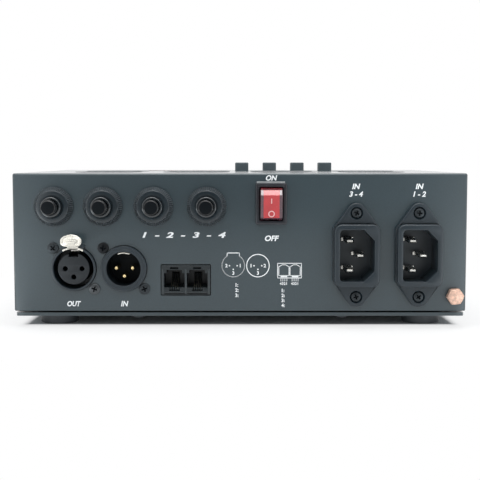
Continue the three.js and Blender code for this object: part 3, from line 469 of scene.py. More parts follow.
# Painted shade: the dark colour put in recesses, bores and parts deep in ports, where shade falls.
PAINTED_SHADE = finish("painted_shade_dark", (0.005, 0.008, 0.011), 0.5, (0.2, 3), (0.3, 0.3, 0.01), specular=0.15)
KEY = finish("key_plastic", (0.075, 0.100, 0.112), 0.42, grain=(0.3, 0.3, 0.015), edge=(0.07, 0.075, 0.078))
RED = finish("rocker_red", (0.52, 0.028, 0.035), 0.22, (0.06, 6), (0.12, 0.8, 0.01), coat=0.45,
             coat_roughness=0.06)
# A dark red for the rocker's side bands, also used as painted shade on its lower end; then a deep red painted
# shade for the strip behind its upper end.
RED_SIDE_AND_SHADE = finish("rocker_red_side_and_shade", (0.085, 0.030, 0.045), 0.24, (0.25, 2), (0.2, 0.5, 0.02), coat=1.0,
                  coat_roughness=0.08)
RED_SHADE = finish("rocker_red_shade", (0.12, 0.006, 0.010), 0.24, (0.1, 3), (0.2, 0.5, 0.01), coat=0.6,
                  coat_roughness=0.08)
RED_MARK = finish("rocker_print", (0.80, 0.50, 0.50), 0.5, (0.05, 1), (0.3, 0.2, 0.01))
WHITE = finish("printed_white", (0.93, 0.95, 0.96), 0.6, (0.05, 1), (0.3, 0.2, 0.01))
NICKEL = finish("bright_nickel", (0.92, 0.885, 0.80), 0.30, (0.05, 4), (0.5, 1.2, 0.04), metallic=0.6)
BLADE = finish("blade_nickel", (0.72, 0.71, 0.67), 0.26, (0.08, 5), (0.4, 0.5, 0.02), metallic=1.0,
               stretch=(1, 0.2, 1))
GOLD = finish("gold_contact", (0.82, 0.66, 0.36), 0.20, (0.06, 3), (0.2, 0.4, 0.01), metallic=1.0)
# The contact wires' dark gold is painted shade, for wires deep in the ports.
SHADED_WIRE = finish("shaded_contact_wire", (0.15, 0.14, 0.11), 0.4, (0.1, 2), (0.2, 0.4, 0.01), metallic=0.8)
SCREW = finish("screw_black", (0.030, 0.037, 0.042), 0.36, (0.2, 2), (0.4, 0.4, 0.02),
               (0.15, 0.155, 0.16), 0.12, metallic=0.5)
SCREW_BLACK = finish("screw_black", (0.007, 0.009, 0.011), 0.38, (0.15, 2), (0.4, 0.4, 0.02), metallic=0.6)
SCREW_GREY = finish("screw_grey", (0.085, 0.092, 0.098), 0.34, (0.15, 2), (0.4, 0.4, 0.02), (0.4, 0.41, 0.42),
                    0.12, metallic=0.85)
COPPER = finish("coppered_steel", (0.74, 0.49, 0.38), 0.50, (0.3, 1.3), (0.9, 1.1, 0.12), (0.95, 0.76, 0.64),
                0.25, metallic=0.45)
STEEL = finish("bare_steel", (0.45, 0.46, 0.47), 0.38, (0.1, 8), (0.4, 0.5, 0.02), metallic=1.0)
RUBBER = finish("foot_rubber", (0.066, 0.074, 0.082), 0.50, (0.15, 5), (0.6, 0.5, 0.03))
BOARD = finish("circuit_board", (0.012, 0.085, 0.040), 0.42, (0.3, 3), (0.4, 0.8, 0.02))
ALUMINIUM = finish("extruded_aluminium", (0.60, 0.61, 0.62), 0.36, (0.05, 10), (0.5, 0.4, 0.02), metallic=1.0,
                   stretch=(1, 1, 0.05))
WINDING = finish("enamelled_wire", (0.42, 0.17, 0.06), 0.30, (0.15, 3), (0.8, 1.0, 0.2), metallic=0.5,
                 stretch=(1, 1, 0.1))
WINDOW = finish("display_window", (0.42, 0.020, 0.025), 0.06, (0.05, 20), (0.05, 5, 0.005), through=0.92,
                uneven=0.01)
SEGMENT = finish("display_segment", (0.55, 0.50, 0.48), 0.4, (0.06, 2), (0.2, 0.4, 0.01))


# CAD nodes that are shown as they are

for material, nodes in (
    (STEEL, ["earth_nut", "transformer"]),
    (BOARD, ["main_board", "control_board", "data_board"]),
    (ALUMINIUM, ["heatsink"]),
    (WINDING, [f"choke_{i}" for i in CHANNELS]),
):
    for node in nodes:
        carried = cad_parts[node].data
        carried.materials.clear()
        carried.materials.append(material)


# The sheet pieces: the solids' own forms, with bends and lower edge as tight as in the photograph

CAD_BEND, CAD_FOLD, CAD_PLATE = 1.6, 1.0, 1.5
BEND_SHARE = 0.5
SKIN = 1.45  # less than the sheet's thickness, so a bend's inner skin stays
TOLERANCE = 0.01
LEVEL = 0.9999
PLATE_LOW, PLATE_HIGH = 5.4, 7.0
BASE_LOW, BASE_HIGH = box_mm("base_plate")


def sheet_form(node, move):
    """A node's mesh in millimetres, its corners welded and then moved."""
    bm = bmesh.new()
    bm.from_mesh(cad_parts[node].data)
    bm.transform(Matrix.Scale(1 / MM, 4))
    bmesh.ops.remove_doubles(bm, verts=bm.verts, dist=WELD)
    for vert in bm.verts:
        vert.co = move(vert.co.copy())
    return bm


def tightened(co):
    """Moves a corner of a bend's outer skin towards the edge where the two faces would meet."""
    near = {}
    for axis in range(3):
        for wall, away in ((CASE_LOW[axis], 1), (CASE_HIGH[axis], -1)):
            depth = (co[axis] - wall) * away
            if depth < (CAD_FOLD if axis == 2 and away > 0 else CAD_BEND) + TOLERANCE:
                near[axis] = (wall, away, depth)
    if len(near) > 1 and min(depth for _, _, depth in near.values()) < SKIN:
        for axis, (wall, away, depth) in near.items():
            co[axis] = wall + away * depth * BEND_SHARE
    return co


def lowered(co):
    """The plate lies lower than its solid and is a little thicker; its posts keep their height."""
    above = co.z - BASE_LOW.z
    if above < CAD_PLATE + TOLERANCE:
        co.z = PLATE_LOW + above * (PLATE_HIGH - PLATE_LOW) / CAD_PLATE
    return co


for node, move in (("top_cover", tightened), ("base_plate", lowered)):
    sheet = piece(f"{node}_sheet", sheet_form(node, move), POWDER, at(0, 0, 0), [node])
    for polygon in sheet.data.polygons:
        polygon.use_smooth = max(abs(share) for share in polygon.normal) < LEVEL


# Cross-head screws

CROSS_WIDTH, CROSS_ROOT, CROSS_TIP = 0.8, 0.25, 0.1
RECESS_DEPTH = 1.05
RECESS_SHARES = [(1.0, 0.0), (0.86, 0.5), (0.35, 1.0)]  # of the cross's size, and of the depth
HEAD_SINK, HEAD_CROWN, HEAD_TOP_SHARE = 0.9, 0.3, 0.72
RIM = 0.05


def cross(reach):
    """The outline of a cross recess."""
    half = CROSS_WIDTH / 2
    points = []
    for quarter in range(4):
        turn = Matrix.Rotation(quarter * math.pi / 2, 2)
        for x, y, corner in [(reach, -half, CROSS_TIP), (reach, half, CROSS_TIP), (half, half, CROSS_ROOT)]:
            points.append((*(turn @ Vector((x, y))), corner))
    return softened(points)


def screw(name, size, turn, material, place):
    """A low crowned head on its seat, with a recess turned by some angle and painted dark as shade.
    size has the head's radius and height and the cross's reach."""
    radius, height, reach = size
    rim = softened([
        (radius, -HEAD_SINK), (radius, height - HEAD_CROWN), (radius * HEAD_TOP_SHARE, height),
    ], HEAD_CROWN, closed=False)
    spin = Matrix.Rotation(turn, 2)
    recess = [([spin @ (p * share) for p in cross(reach)], height - depth * RECESS_DEPTH)
              for share, depth in RECESS_SHARES]

    # The recess's faces get the painted shade.
    def shaded_recess_faces(middle, normal):
        return int(math.hypot(middle.x, middle.y) < reach + RIM and middle.z < height - RIM)

    piece(name, form([(circle(p.x), p.y) for p in rim], pockets=[recess]), [material, PAINTED_SHADE], place,
          choose=shaded_recess_faces)


# Circuit breakers: smooth neck, serrated ring nut and push button

NUT_TEETH, TOOTH_DEPTH, TOOTH_RUN, TOOTH_TURN = 60, 0.6, 0.25, 0.9
NUT_NARROWING, NUT_FIT, NUT_LIP = 1.95, 0.12, 0.7
NUT_SHADE_RADIUS = 7.75
NECK_RADIUS, NECK_BORE, NECK_BACK, NECK_DEPTH = 4.76, 3.75, -3.3, 7.3
BREAKER_WIDTH, BREAKER_HEIGHT, BREAKER_BACK = 15, 22, -21.8
BREAKER_TERMINAL_WIDTH, BREAKER_TERMINAL_OFFSET = 6.3, 6.6
TERMINAL_THICKNESS = 0.8


def wave(turns):
    """A triangle wave between 0 and 1."""
    return abs(2 * (turns % 1.0) - 1)


def ring_nut():
    """A cone with teeth along all of its side and a plain rounded edge around its face."""
    outer = radius_mm("breaker_1_nut")
    front, back = reach_mm("breaker_1_nut")
    bore, face = NECK_RADIUS + NUT_FIT, outer - NUT_NARROWING

    def toothed(radius, angle, height):
        if radius > face + RIM and height > back:
            depth = TOOTH_DEPTH * min(1.0, (radius - face) / TOOTH_RUN)
            return radius - depth * wave(NUT_TEETH * angle / (2 * math.pi))
        return radius

    return lathe([
        (bore, back), (outer - 0.3, back), (outer, back + 0.3), (outer - 0.1, back + 1.4),
        (face + 0.12, front - 0.5), (face, front, 0.55), (bore + NUT_LIP, front, 0.1),
        (bore, front - NUT_LIP / 2),
    ], closed=True, sides=NUT_TEETH * 4, shaped=toothed)


def tooth_light_and_shade(middle, normal):
    """The side of the nut is painted lighter than its face, with painted highlights on the tips and painted
    shade in the gaps between the teeth.
    """
    if math.hypot(middle.x, middle.y) < NUT_SHADE_RADIUS or normal.z < 0:
        return 0
    turns = NUT_TEETH * math.atan2(middle.y, middle.x) / (2 * math.pi)
    return 1 if wave(turns) < 0.5 else 2


def terminals(width, offset, back, front):
    """Two flat terminals, one above the other."""
    return [shifted(block(rectangle(width, TERMINAL_THICKNESS), back, front, 0.15), y=side * offset)
            for side in SIDES]


def breaker_case():
    front, back = reach_mm("breaker_1_body")
    neck = lathe([
        (0, NECK_BACK), (NECK_RADIUS, NECK_BACK), (NECK_RADIUS, front, 0.95), (NECK_BORE, front, 0.05),
        (NECK_BORE, front - NECK_DEPTH), (0, front - NECK_DEPTH),
    ])
    case = block(rounded_box(BREAKER_WIDTH, BREAKER_HEIGHT, 1.5), BREAKER_BACK, BEHIND, 0.4, 0.4)
    ends = terminals(BREAKER_TERMINAL_WIDTH, BREAKER_TERMINAL_OFFSET, back, BREAKER_BACK + 1)
    return merged(case, neck, *ends)


def push_button():
    """A plain rod whose flat end has a broad rounded edge."""
    radius = radius_mm("breaker_1_button")
    front, back = reach_mm("breaker_1_button")
    return lathe([(0, back), (radius, back, 0.2), (radius, front, 0.72), (0, front)], steps=6)


for i in CHANNELS:
    place = over(f"breaker_{i}_nut")
    spin = Matrix.Rotation(TOOTH_TURN * i, 4, "Z")
    piece(f"breaker_{i}_case", breaker_case(), NECK, place, [f"breaker_{i}_body"])
    piece(f"breaker_{i}_ring_nut", ring_nut(), [NUT, NUT_TIP_HIGHLIGHT, NUT_GAP_SHADE], place @ spin,
          [f"breaker_{i}_nut"], choose=tooth_light_and_shade)
    piece(f"breaker_{i}_push_button", push_button(), [BUTTON, BUTTON_FACE], place,
          [f"breaker_{i}_button"], f"reset_button_{i}", lambda middle, normal: int(normal.z > 0.99))


# Round data sockets: pieces of both

PIN_OFFSET, PIN_RADIUS = 4.0, 1.2
PIN_PLACES = [(-PIN_OFFSET, 0), (PIN_OFFSET, 0), (0, -PIN_OFFSET)]
DATA_SCREW, DATA_SCREW_OFFSET = (2.65, 1.15, 1.45), 9.8
SOCKET_FLANGE_BACK, SOCKET_FLOOR = -4.0, -12.9
FIT = 0.02


def socket_flange(ring_radius):
    """The square plate behind the panel that a data socket's ring stands on."""
    width = 2 * (ring_radius + 0.9)
    hole = cavity(circle(ring_radius - FIT), BEHIND, SOCKET_FLANGE_BACK)
    return block(rounded_box(width, width, 2), SOCKET_FLANGE_BACK, BEHIND, holes=[hole])


# Data output: ring, insert with three contact holes, and latch

OUT_RADIUS, OUT_GROOVE, OUT_BORE = 10.65, 9.6, 7.9
LUG_BAND, LUG_BACK, LUG_FRONT = (12.3, 10.3, math.radians(27)), -1.0, 1.9
INSERT_RADIUS, INSERT_SEAT = 7.6, -9.6
NOTCH_FLOOR, NOTCH_HALF = 5.8, 2.2

out = centre_mm("data_out_insert")
out_place = on_panel(out.x, out.z)
out_front, out_back = reach_mm("data_out_shell")
out_ring = lathe([
    (OUT_BORE, out_back), (OUT_RADIUS, out_back), (OUT_RADIUS, out_front - 0.1, 0.55),
    (10.15, out_front, 0.2), (9.75, out_front, 0.12), (OUT_GROOVE, out_front - 0.2, 0.1),
    (OUT_GROOVE, SOCKET_FLOOR), (OUT_BORE, SOCKET_FLOOR),
], closed=True)
ring_lug = block(arc_band(*LUG_BAND), LUG_BACK, LUG_FRONT, 0, 0.3)
piece("data_out_ring", merged(out_ring, socket_flange(OUT_RADIUS), ring_lug), BLACK, out_place,
      ["data_out_shell"])

insert_front, insert_back = reach_mm("data_out_insert")
notch_angle = math.asin(NOTCH_HALF / INSERT_RADIUS)
notched = arc_points(INSERT_RADIUS, UP + notch_angle, 2.5 * math.pi - notch_angle, 72)
notched += [Vector((NOTCH_HALF, NOTCH_FLOOR)), Vector((-NOTCH_HALF, NOTCH_FLOOR))]
insert_holes = [cavity(circle(PIN_RADIUS, 32, x, y), insert_front, insert_front - 10, 0.25)
                for x, y in PIN_PLACES]
piece("data_out_face", merged(
    block(notched, INSERT_SEAT, insert_front, 0, 0.35, pockets=insert_holes),
    block(circle(INSERT_RADIUS), insert_back, INSERT_SEAT),
), INSERT, out_place, ["data_out_insert"])

SIDEWAYS = Matrix(((0, 0, -1, 0), (0, 1, 0, 0), (1, 0, 0, 0), (0, 0, 0, 1)))


def side_form(points, width):
    """A profile of reach out of the panel and height, made as wide as asked."""
    return moved(block(softened(points, 0.3), -width / 2, width / 2, 0.12, 0.12), SIDEWAYS)


FOOT_LOW, FOOT_BACK, FOOT_FRONT = 9.55, 2.4, 3.2
TAB_RISE, TAB_HEIGHT, TAB_WIDTH, TAB_LEAN = 14.05, 5.75, 9.95, math.radians(-10)
ARM_WIDTH, TONGUE_WIDTH, TONGUE_LOW, TONGUE_HIGH = 5.2, 4.0, 7.9, 8.7
TAB_SECTIONS = [  # shares of the outline, and heights
    (0.94, -0.9), (0.985, -0.82), (1.0, -0.6), (1.0, -0.4), (0.985, -0.2), (0.95, -0.06), (0.90, 0.0),
    (0.84, -0.02), (0.80, -0.14), (0.72, -0.16), (0.68, -0.04), (0.45, 0.06), (0.2, 0.1),
]
RIB_PITCH, RIB_LENGTH, RIB_SHORTENING, RIB_HEIGHT = 0.95, 5.0, 1.3, 0.34

latch_front, latch_back = reach_mm("data_out_latch")
tab_back = latch_front - 1.1
tab_front = tab_back + 0.6
latch_arm = side_form([
    (FOOT_BACK, FOOT_LOW, 0.1), (FOOT_FRONT, FOOT_LOW, 0.1), (FOOT_FRONT, 10.3, 0.6), (tab_front, 12.0, 0.6),
    (tab_front, TAB_RISE, 0.1), (tab_back, TAB_RISE, 0.1), (tab_back, 12.7, 0.4), (FOOT_BACK, 11.2, 0.4),
], ARM_WIDTH)
tongue = side_form([
    (latch_back, TONGUE_LOW), (-3.5, TONGUE_LOW), (-3.5, TONGUE_HIGH), (latch_back + 1.2, TONGUE_HIGH),
    (latch_back, 9.1),
], TONGUE_WIDTH)
latch_foot = block(arc_band(10.4, OUT_GROOVE, math.radians(29)), FOOT_BACK, FOOT_FRONT, 0.12, 0.12)


def tab_outline():
    """An arched top over a lower half whose corners are squarer."""
    points = []
    for p in circle(1.0, FINE):
        fullness = 1.0 if p.y > 0 else 0.6
        points.append(Vector((
            math.copysign(abs(p.x) ** fullness, p.x) * TAB_WIDTH / 2,
            math.copysign(abs(p.y) ** fullness, p.y) * TAB_HEIGHT / 2,
        )))
    return points


def tab_rib(row):
    length = RIB_LENGTH - RIB_SHORTENING * abs(row)
    return shifted(block(rounded_box(length, RIB_HEIGHT, 0.16), -0.2, 0.16, 0, 0.1), y=RIB_PITCH * row - 0.1)


tab = form([([p * share for p in tab_outline()], height) for share, height in TAB_SECTIONS])
lean = Matrix.Translation((0, TAB_RISE, latch_front - 0.55)) @ Matrix.Rotation(TAB_LEAN, 4, "X")
latch_tab = moved(merged(tab, *(tab_rib(row) for row in (-1, 0, 1))), lean)
piece("data_out_release", merged(latch_arm, tongue, latch_foot, latch_tab), NICKEL, out_place,
      ["data_out_latch"], "latch")


# Data input: cup, three pins and earthing spring

IN_RADIUS, IN_BORE, IN_BACK_RADIUS, IN_LIP = 10.95, 8.15, 9.45, 9.35
CUP_SHADE_RADIUS = 8.2
SPRING_BAND = (7.85, 7.3, math.radians(21))

data_in = centre_mm("data_in_shell")
in_place = on_panel(data_in.x, data_in.z)
in_front, in_back = reach_mm("data_in_shell")
cup = lathe([
    (0, in_back), (IN_BACK_RADIUS, in_back), (IN_BACK_RADIUS, SOCKET_FLANGE_BACK),
    (IN_RADIUS, SOCKET_FLANGE_BACK), (IN_RADIUS, in_front, 0.55), (10.35, in_front, 0.12),
    (10.2, in_front - 0.2, 0.12), (IN_LIP, in_front - 0.2, 0.12), (9.15, in_front, 0.12),
    (IN_BORE, in_front, 0.3), (IN_BORE, SOCKET_FLOOR), (0, SOCKET_FLOOR),
])
# Inside the bore the cup is painted dark: painted shade.
piece("data_in_cup", merged(cup, socket_flange(IN_RADIUS)), [BLACK, PAINTED_SHADE], in_place,
      ["data_in_shell"], choose=lambda middle, normal: int(math.hypot(middle.x, middle.y) < CUP_SHADE_RADIUS))

pin_front, pin_back = reach_mm("data_in_pin_1")
pin_profile = [(0, pin_back), (PIN_RADIUS, pin_back)]
pin_profile += [tuple(p) for p in arc_points(PIN_RADIUS, 0, UP, 8, 0, pin_front - PIN_RADIUS)[:-1]]
pin_profile.append((0, pin_front))
for i, (x, y) in enumerate(PIN_PLACES, 1):
    piece(f"data_in_contact_{i}", shifted(lathe(pin_profile, sides=40), x, y), GOLD, in_place,
          [f"data_in_pin_{i}"])
spring_front, spring_back = reach_mm("data_in_spring")
piece("data_in_earth_spring", block(arc_band(*SPRING_BAND), spring_back, spring_front, 0.1, 0.2), NICKEL,
      in_place, ["data_in_spring"])

# The output's lower right screw gets a paler copy of the screw finish, painted light, and the input's upper
# left screw a darker copy, painted shade.
SCREW_LIT_AND_SHADED = {("out", 1): SCREW_GREY, ("in", -1): SCREW_BLACK}
for name, spot, turn in (("out", out, 0.25), ("in", data_in, 0.9)):
    for i, side in enumerate(SIDES, 1):
        place = on_panel(spot.x + side * DATA_SCREW_OFFSET, spot.z - side * DATA_SCREW_OFFSET)
        shade = SCREW_LIT_AND_SHADED.get((name, side), SCREW)
        screw(f"data_{name}_screw_{i}", DATA_SCREW, turn + 0.5 * i, shade, place)


# Double link jack

JACK_WIDTH, JACK_HEIGHT, JACK_BORDER = 23.5, 14.6, 1.3
PORT_PITCH, PORT_WIDTH, PORT_DEPTH = 10.95, 9.85, 13.0
PORT_TOP, PORT_FLOOR, KEYWAY_TOP, PORT_LOW = 3.2, -3.7, 4.85, -5.3
KEYWAY_SHARE, PORT_LOW_SHARE, PORT_SLOT_SHARE = 0.76, 0.52, 0.4
COMB_RIBS, COMB_PITCH = 6, 0.86
WIRES, WIRE_PITCH, WIRE_RADIUS = 4, 1.02, 0.13

jack_place = over("link_jack_housing")
jack_front, jack_back = reach_mm("link_jack_housing")
wire_back = jack_front - PORT_DEPTH + 0.3


def port_outline(x):
    """A port with the keyway over it and the contacts' notch in its floor."""
    half = PORT_WIDTH / 2
    keyway, notch = half * KEYWAY_SHARE, half * PORT_LOW_SHARE
    right = [(notch, PORT_LOW), (notch, PORT_FLOOR), (half, PORT_FLOOR), (half, PORT_TOP),
             (keyway, PORT_TOP), (keyway, KEYWAY_TOP)]
    left = [(-across, up) for across, up in reversed(right)]
    return [p + Vector((x, 0)) for p in softened(right + left, 0.15)]


def wire(x):
    """A contact wire: round the edge of the port's floor, then slanting up to the back."""
    return tube([(x, y, z) for y, z in [
        (PORT_LOW + 0.55, jack_front - 1.5), (PORT_LOW + 0.5, jack_front - 1.25),
        (PORT_LOW + 0.75, jack_front - 1.05), (PORT_LOW + 1.2, jack_front - 1.6),
        (PORT_TOP - 1.4, wire_back + 2.2), (PORT_TOP - 0.8, wire_back + 1.3),
        (PORT_TOP - 0.7, wire_back + 0.2),
    ]], WIRE_RADIUS)


jack_pockets = []
comb = []
for side in SIDES:
    x = side * PORT_PITCH / 2
    port_slot = rounded_box(PORT_SLOT_SHARE * PORT_WIDTH, 0.83, 0.2, x, 5.7)
    jack_pockets.append(cavity(port_outline(x), jack_front, jack_front - PORT_DEPTH, 0.16))
    jack_pockets.append(cavity(port_slot, jack_front, jack_front - 4, 0.08))
    for step in evenly(COMB_RIBS, COMB_PITCH):
        rib = block(rectangle(0.34, 1.0), jack_front - 8.0, jack_front - 0.3, 0, 0.08)
        comb.append(shifted(rib, x + step, PORT_FLOOR - 0.55))
for post in (-1, 0, 1):
    strip = block(rectangle(0.9, JACK_HEIGHT - 2 * JACK_BORDER), jack_front - 0.2, jack_front + 0.12, 0, 0.1)
    comb.append(shifted(strip, post * (JACK_WIDTH / 2 - 0.75), -0.9))
shelf = block(rectangle(JACK_WIDTH - 2 * JACK_BORDER, 0.4), jack_front - 0.2, jack_front + 0.15, 0, 0.1)
comb.append(shifted(shelf, y=-JACK_HEIGHT / 2 + 1.4))
groove = rectangle(JACK_WIDTH - 2.8, 0.6, 0, -JACK_HEIGHT / 2 + 0.6)
jack_pockets.append(cavity(groove, jack_front, jack_front - 1.2))
piece("link_jack_body", block(
    rounded_box(JACK_WIDTH, JACK_HEIGHT, 0.6), jack_back, jack_front, 0, 0.25, pockets=jack_pockets,
), JACK, jack_place, ["link_jack_housing"])
piece("link_jack_comb", merged(*comb), COMB, jack_place)
for i, side in enumerate(SIDES, 1):
    wires = [wire(step) for step in evenly(WIRES, WIRE_PITCH)]
    carrier = shifted(block(rounded_box(3.6, 5.2, 0.2), wire_back - 0.2, wire_back + 1.2, 0, 0.15), y=-0.3)
    port_place = jack_place @ Matrix.Translation((side * PORT_PITCH / 2, 0, 0))
    piece(f"link_jack_wires_{i}", merged(*wires), SHADED_WIRE, port_place,
          [f"link_jack_contacts_{i}"])
    # The carrier deep in the port is painted dark: painted shade.
    piece(f"link_jack_carrier_{i}", carrier, PAINTED_SHADE, port_place)


# Rocker switch

SEAT_GAP = 0.3
SWITCH_WIDTH, SWITCH_HEIGHT, SWITCH_BACK = 12.8, 17.6, -12.0
BEZEL_WIDTH, BEZEL_HEIGHT, BEZEL_BORDER = 14.8, 19.6, 1.75
SWITCH_TERMINAL_WIDTH, SWITCH_TERMINAL_OFFSET = 4.8, 4.4
PIVOT_OUT, ROCKER_RADIUS, ROCKER_WIDTH, ROCKER_TILT = 0.5, 7.8, 10.3, math.radians(12)
ROCKER_ENDS = [math.radians(angle) for angle in (44.8, 69.5, 86, 101)]
KINK = Vector((math.cos(ROCKER_ENDS[0]), math.sin(ROCKER_ENDS[0]))) * ROCKER_RADIUS
DISH = 0.61 * ROCKER_RADIUS
SIDE_BAND, BAND_GROOVE, GROOVE_RUN = 3.75, 0.07, 0.06
MARK_LOW, MARK_HIGH = -0.2, 0.05

switch_place = over("switch_body")
switch_front, switch_back = reach_mm("switch_body")
switch_core = rounded_box(SWITCH_WIDTH, SWITCH_HEIGHT, 0.5)
bezel = [(switch_core, SWITCH_BACK), (switch_core, SEAT_GAP)]
bezel += edged(rounded_box(BEZEL_WIDTH, BEZEL_HEIGHT, 0.8), SEAT_GAP, switch_front, 0, 0.45)
opening = rounded_box(BEZEL_WIDTH - 2 * BEZEL_BORDER, BEZEL_HEIGHT - 2 * BEZEL_BORDER, 0.35)
piece("switch_case", merged(
    form(bezel, pockets=[cavity(opening, switch_front, PIVOT_OUT - ROCKER_RADIUS, 0.3)]),
    *terminals(SWITCH_TERMINAL_WIDTH, SWITCH_TERMINAL_OFFSET, switch_back, SWITCH_BACK + 0.5),
), GLOSS_BLACK, switch_place, ["switch_body"])


def rocker_form():
    """Ends on a circle about the pivot, a dished face, and a groove that sets off a band at each side."""
    upper = [(ROCKER_RADIUS * math.cos(angle), ROCKER_RADIUS * math.sin(angle), softness)
             for angle, softness in zip(ROCKER_ENDS, (0.2, 0.25, 0.25, 0.2))]
    lower = [(x, -y, softness) for x, y, softness in reversed(upper)]
    profile = softened([*lower, (DISH, 0, 8.0), *upper])
    waist = inset(profile, BAND_GROOVE)
    ends = edged(profile, -ROCKER_WIDTH / 2, ROCKER_WIDTH / 2, 0.2, 0.2)
    middle = len(ends) // 2
    groove = [(profile, -SIDE_BAND - GROOVE_RUN), (waist, -SIDE_BAND), (waist, SIDE_BAND),
              (profile, SIDE_BAND + GROOVE_RUN)]
    return moved(form(ends[:middle] + groove + ends[middle:]), SIDEWAYS)


def rocker_shade(middle, normal):
    """The side bands are dark, the lower end is painted dark as shade, and the strip behind the upper end is
    painted deep red as the shade under the bezel.
    """
    if abs(math.atan2(middle.y, middle.z)) > ROCKER_ENDS[1]:
        return 2
    if middle.y < -KINK.y - 0.15:
        return 1
    return int(abs(middle.x) > SIDE_BAND and middle.z > ROCKER_RADIUS * 0.3)


def on_rocker(height):
    """A place on the lever's face at that height from its pivot, in the lever's own frame."""
    rise = (KINK.x - DISH) / KINK.y
    slope = math.atan(rise) * (1 if height > 0 else -1)
    return Matrix.Translation((0, height, DISH + rise * abs(height) - 0.07)) @ Matrix.Rotation(slope, 4, "X")


lever_place = switch_place @ Matrix.Translation((0, 0, PIVOT_OUT)) @ Matrix.Rotation(ROCKER_TILT, 4, "X")
bar_mark = block(rounded_box(0.42, 2.6, 0.15), MARK_LOW, MARK_HIGH)
ring_mark = washer(1.53, 1.08, MARK_LOW, MARK_HIGH, 48)
piece("switch_lever", rocker_form(), [RED, RED_SIDE_AND_SHADE, RED_SHADE], lever_place, ["switch_rocker"],
      "rocker", rocker_shade)
piece("switch_lever_marks", merged(moved(bar_mark, on_rocker(2.6)), moved(ring_mark, on_rocker(-3.6))),
      RED_MARK, lever_place, body="rocker")


# Mains inlets

INLET_SCREW, INLET_SCREWS = (2.3, 1.2, 1.3), 20.0
EAR_RADIUS, FLANGE_HALF, SHOULDER_HALF, FLANGE_FRONT = 4.8, 11.2, 12.6, 3.0
CORE_WIDTH, CORE_HEIGHT = 19.5, 27.6
RIM_WIDTH, RIM_HEIGHT, RIM_CORNER, RIM_GAP = 21.4, 29.7, 3.4, 0.35
MOUTH_WIDTH, MOUTH_HEIGHT, MOUTH_CUT, MOUTH_DEPTH = 16.3, 24.4, 5.0, 16
SINK_STEPS = [(3.05, FLANGE_FRONT), (2.9, FLANGE_FRONT - 0.5), (1.7, 0.9)]  # radius and height
BLADE_FULL, BLADE_SLIM, COLLAR = (4.0, 2.0), (2.7, 0.85), (6.0, 1.9)
COLLAR_BACK, COLLAR_FRONT = 14.9, 13.6  # behind the blade's tip


def inlet_flange_outline():
    """Straight sides that run on into the round ears of the two screws."""
    rise = INLET_SCREWS - SHOULDER_HALF
    tangent = math.acos(EAR_RADIUS / math.hypot(FLANGE_HALF, rise)) - math.atan2(rise, FLANGE_HALF)
    points = [Vector((FLANGE_HALF, -SHOULDER_HALF)), Vector((FLANGE_HALF, SHOULDER_HALF))]
    points += arc_points(EAR_RADIUS, tangent, math.pi - tangent, y=INLET_SCREWS)
    points += [Vector((-FLANGE_HALF, SHOULDER_HALF)), Vector((-FLANGE_HALF, -SHOULDER_HALF))]
    return points + arc_points(EAR_RADIUS, math.pi + tangent, 2 * math.pi - tangent, y=-INLET_SCREWS)


def inlet_mouth_outline():
    """A rectangle with its two right corners cut off."""
    x, y = MOUTH_WIDTH / 2, MOUTH_HEIGHT / 2
    return softened([
        (x, y - MOUTH_CUT), (x - MOUTH_CUT, y), (-x, y, 1.8), (-x, -y, 1.8), (x - MOUTH_CUT, -y),
        (x, MOUTH_CUT - y),
    ], 0.9, steps=5)


def inlet_shell(front, back):
    """The housing with its mouth and rim, in a plate with two countersinks."""
    core = rounded_box(CORE_WIDTH, CORE_HEIGHT, 1.8)
    outer = [(core, back + TOLERANCE), (core, SEAT_GAP)]
    outer += edged(rounded_box(RIM_WIDTH, RIM_HEIGHT, RIM_CORNER), SEAT_GAP, front, 0, 0.7, 4)
    shell = form(outer, pockets=[cavity(inlet_mouth_outline(), front, front - MOUTH_DEPTH, 0.35)])
    sinks = [[(circle(radius, 40, 0, side * INLET_SCREWS), height) for radius, height in SINK_STEPS]
             for side in SIDES]
    room = rounded_box(RIM_WIDTH + 2 * RIM_GAP, RIM_HEIGHT + 2 * RIM_GAP, RIM_CORNER + RIM_GAP)
    plate = block(inlet_flange_outline(), SEAT_GAP, FLANGE_FRONT, 0, 0.55, pockets=sinks,
                  holes=[cavity(room, FLANGE_FRONT, SEAT_GAP)])
    return merged(shell, plate)


def inlet_blade(front, back):
    """A blade with a slimmer tip, in the collar that it comes out of."""
    full, slim = rounded_box(*BLADE_FULL, 0.3, steps=3), rounded_box(*BLADE_SLIM, 0.25, steps=3)
    blade = form([(full, back), (full, front - 1.6), (inset(full, 0.08), front - 1.3), (slim, front - 0.06),
                  (inset(slim, 0.08), front)])
    return merged(blade, block(rounded_box(*COLLAR, 0.4), front - COLLAR_BACK, front - COLLAR_FRONT, 0, 0.2))


for i in (1, 2):
    housing = f"inlet_{i}_housing"
    spot = centre_mm(housing)
    piece(f"inlet_{i}_shell", inlet_shell(*reach_mm(housing)), BLACK, over(housing),
          [housing])
    for kind in ("line", "neutral", "earth"):
        pin = f"inlet_{i}_{kind}_pin"
        piece(f"inlet_{i}_{kind}_blade", inlet_blade(*reach_mm(pin)), BLADE, over(pin),
              [pin])
    for row, side in enumerate((1, -1), 1):
        place = on_panel(spot.x, spot.z + side * INLET_SCREWS, FLANGE_FRONT - 1.25)
        screw(f"inlet_{i}_screw_{row}", INLET_SCREW, 0.4 * i + 0.7 * row, SCREW, place)


# Earth bolt

HEX_RADIUS, SHANK_RADIUS = 4.15, 2.0
BOLT_SHIFT, BOLT_TURN = (0.3, -0.35), math.radians(5.4)

bolt = centre_mm("earth_bolt")
bolt_front, bolt_back = reach_mm("earth_bolt")


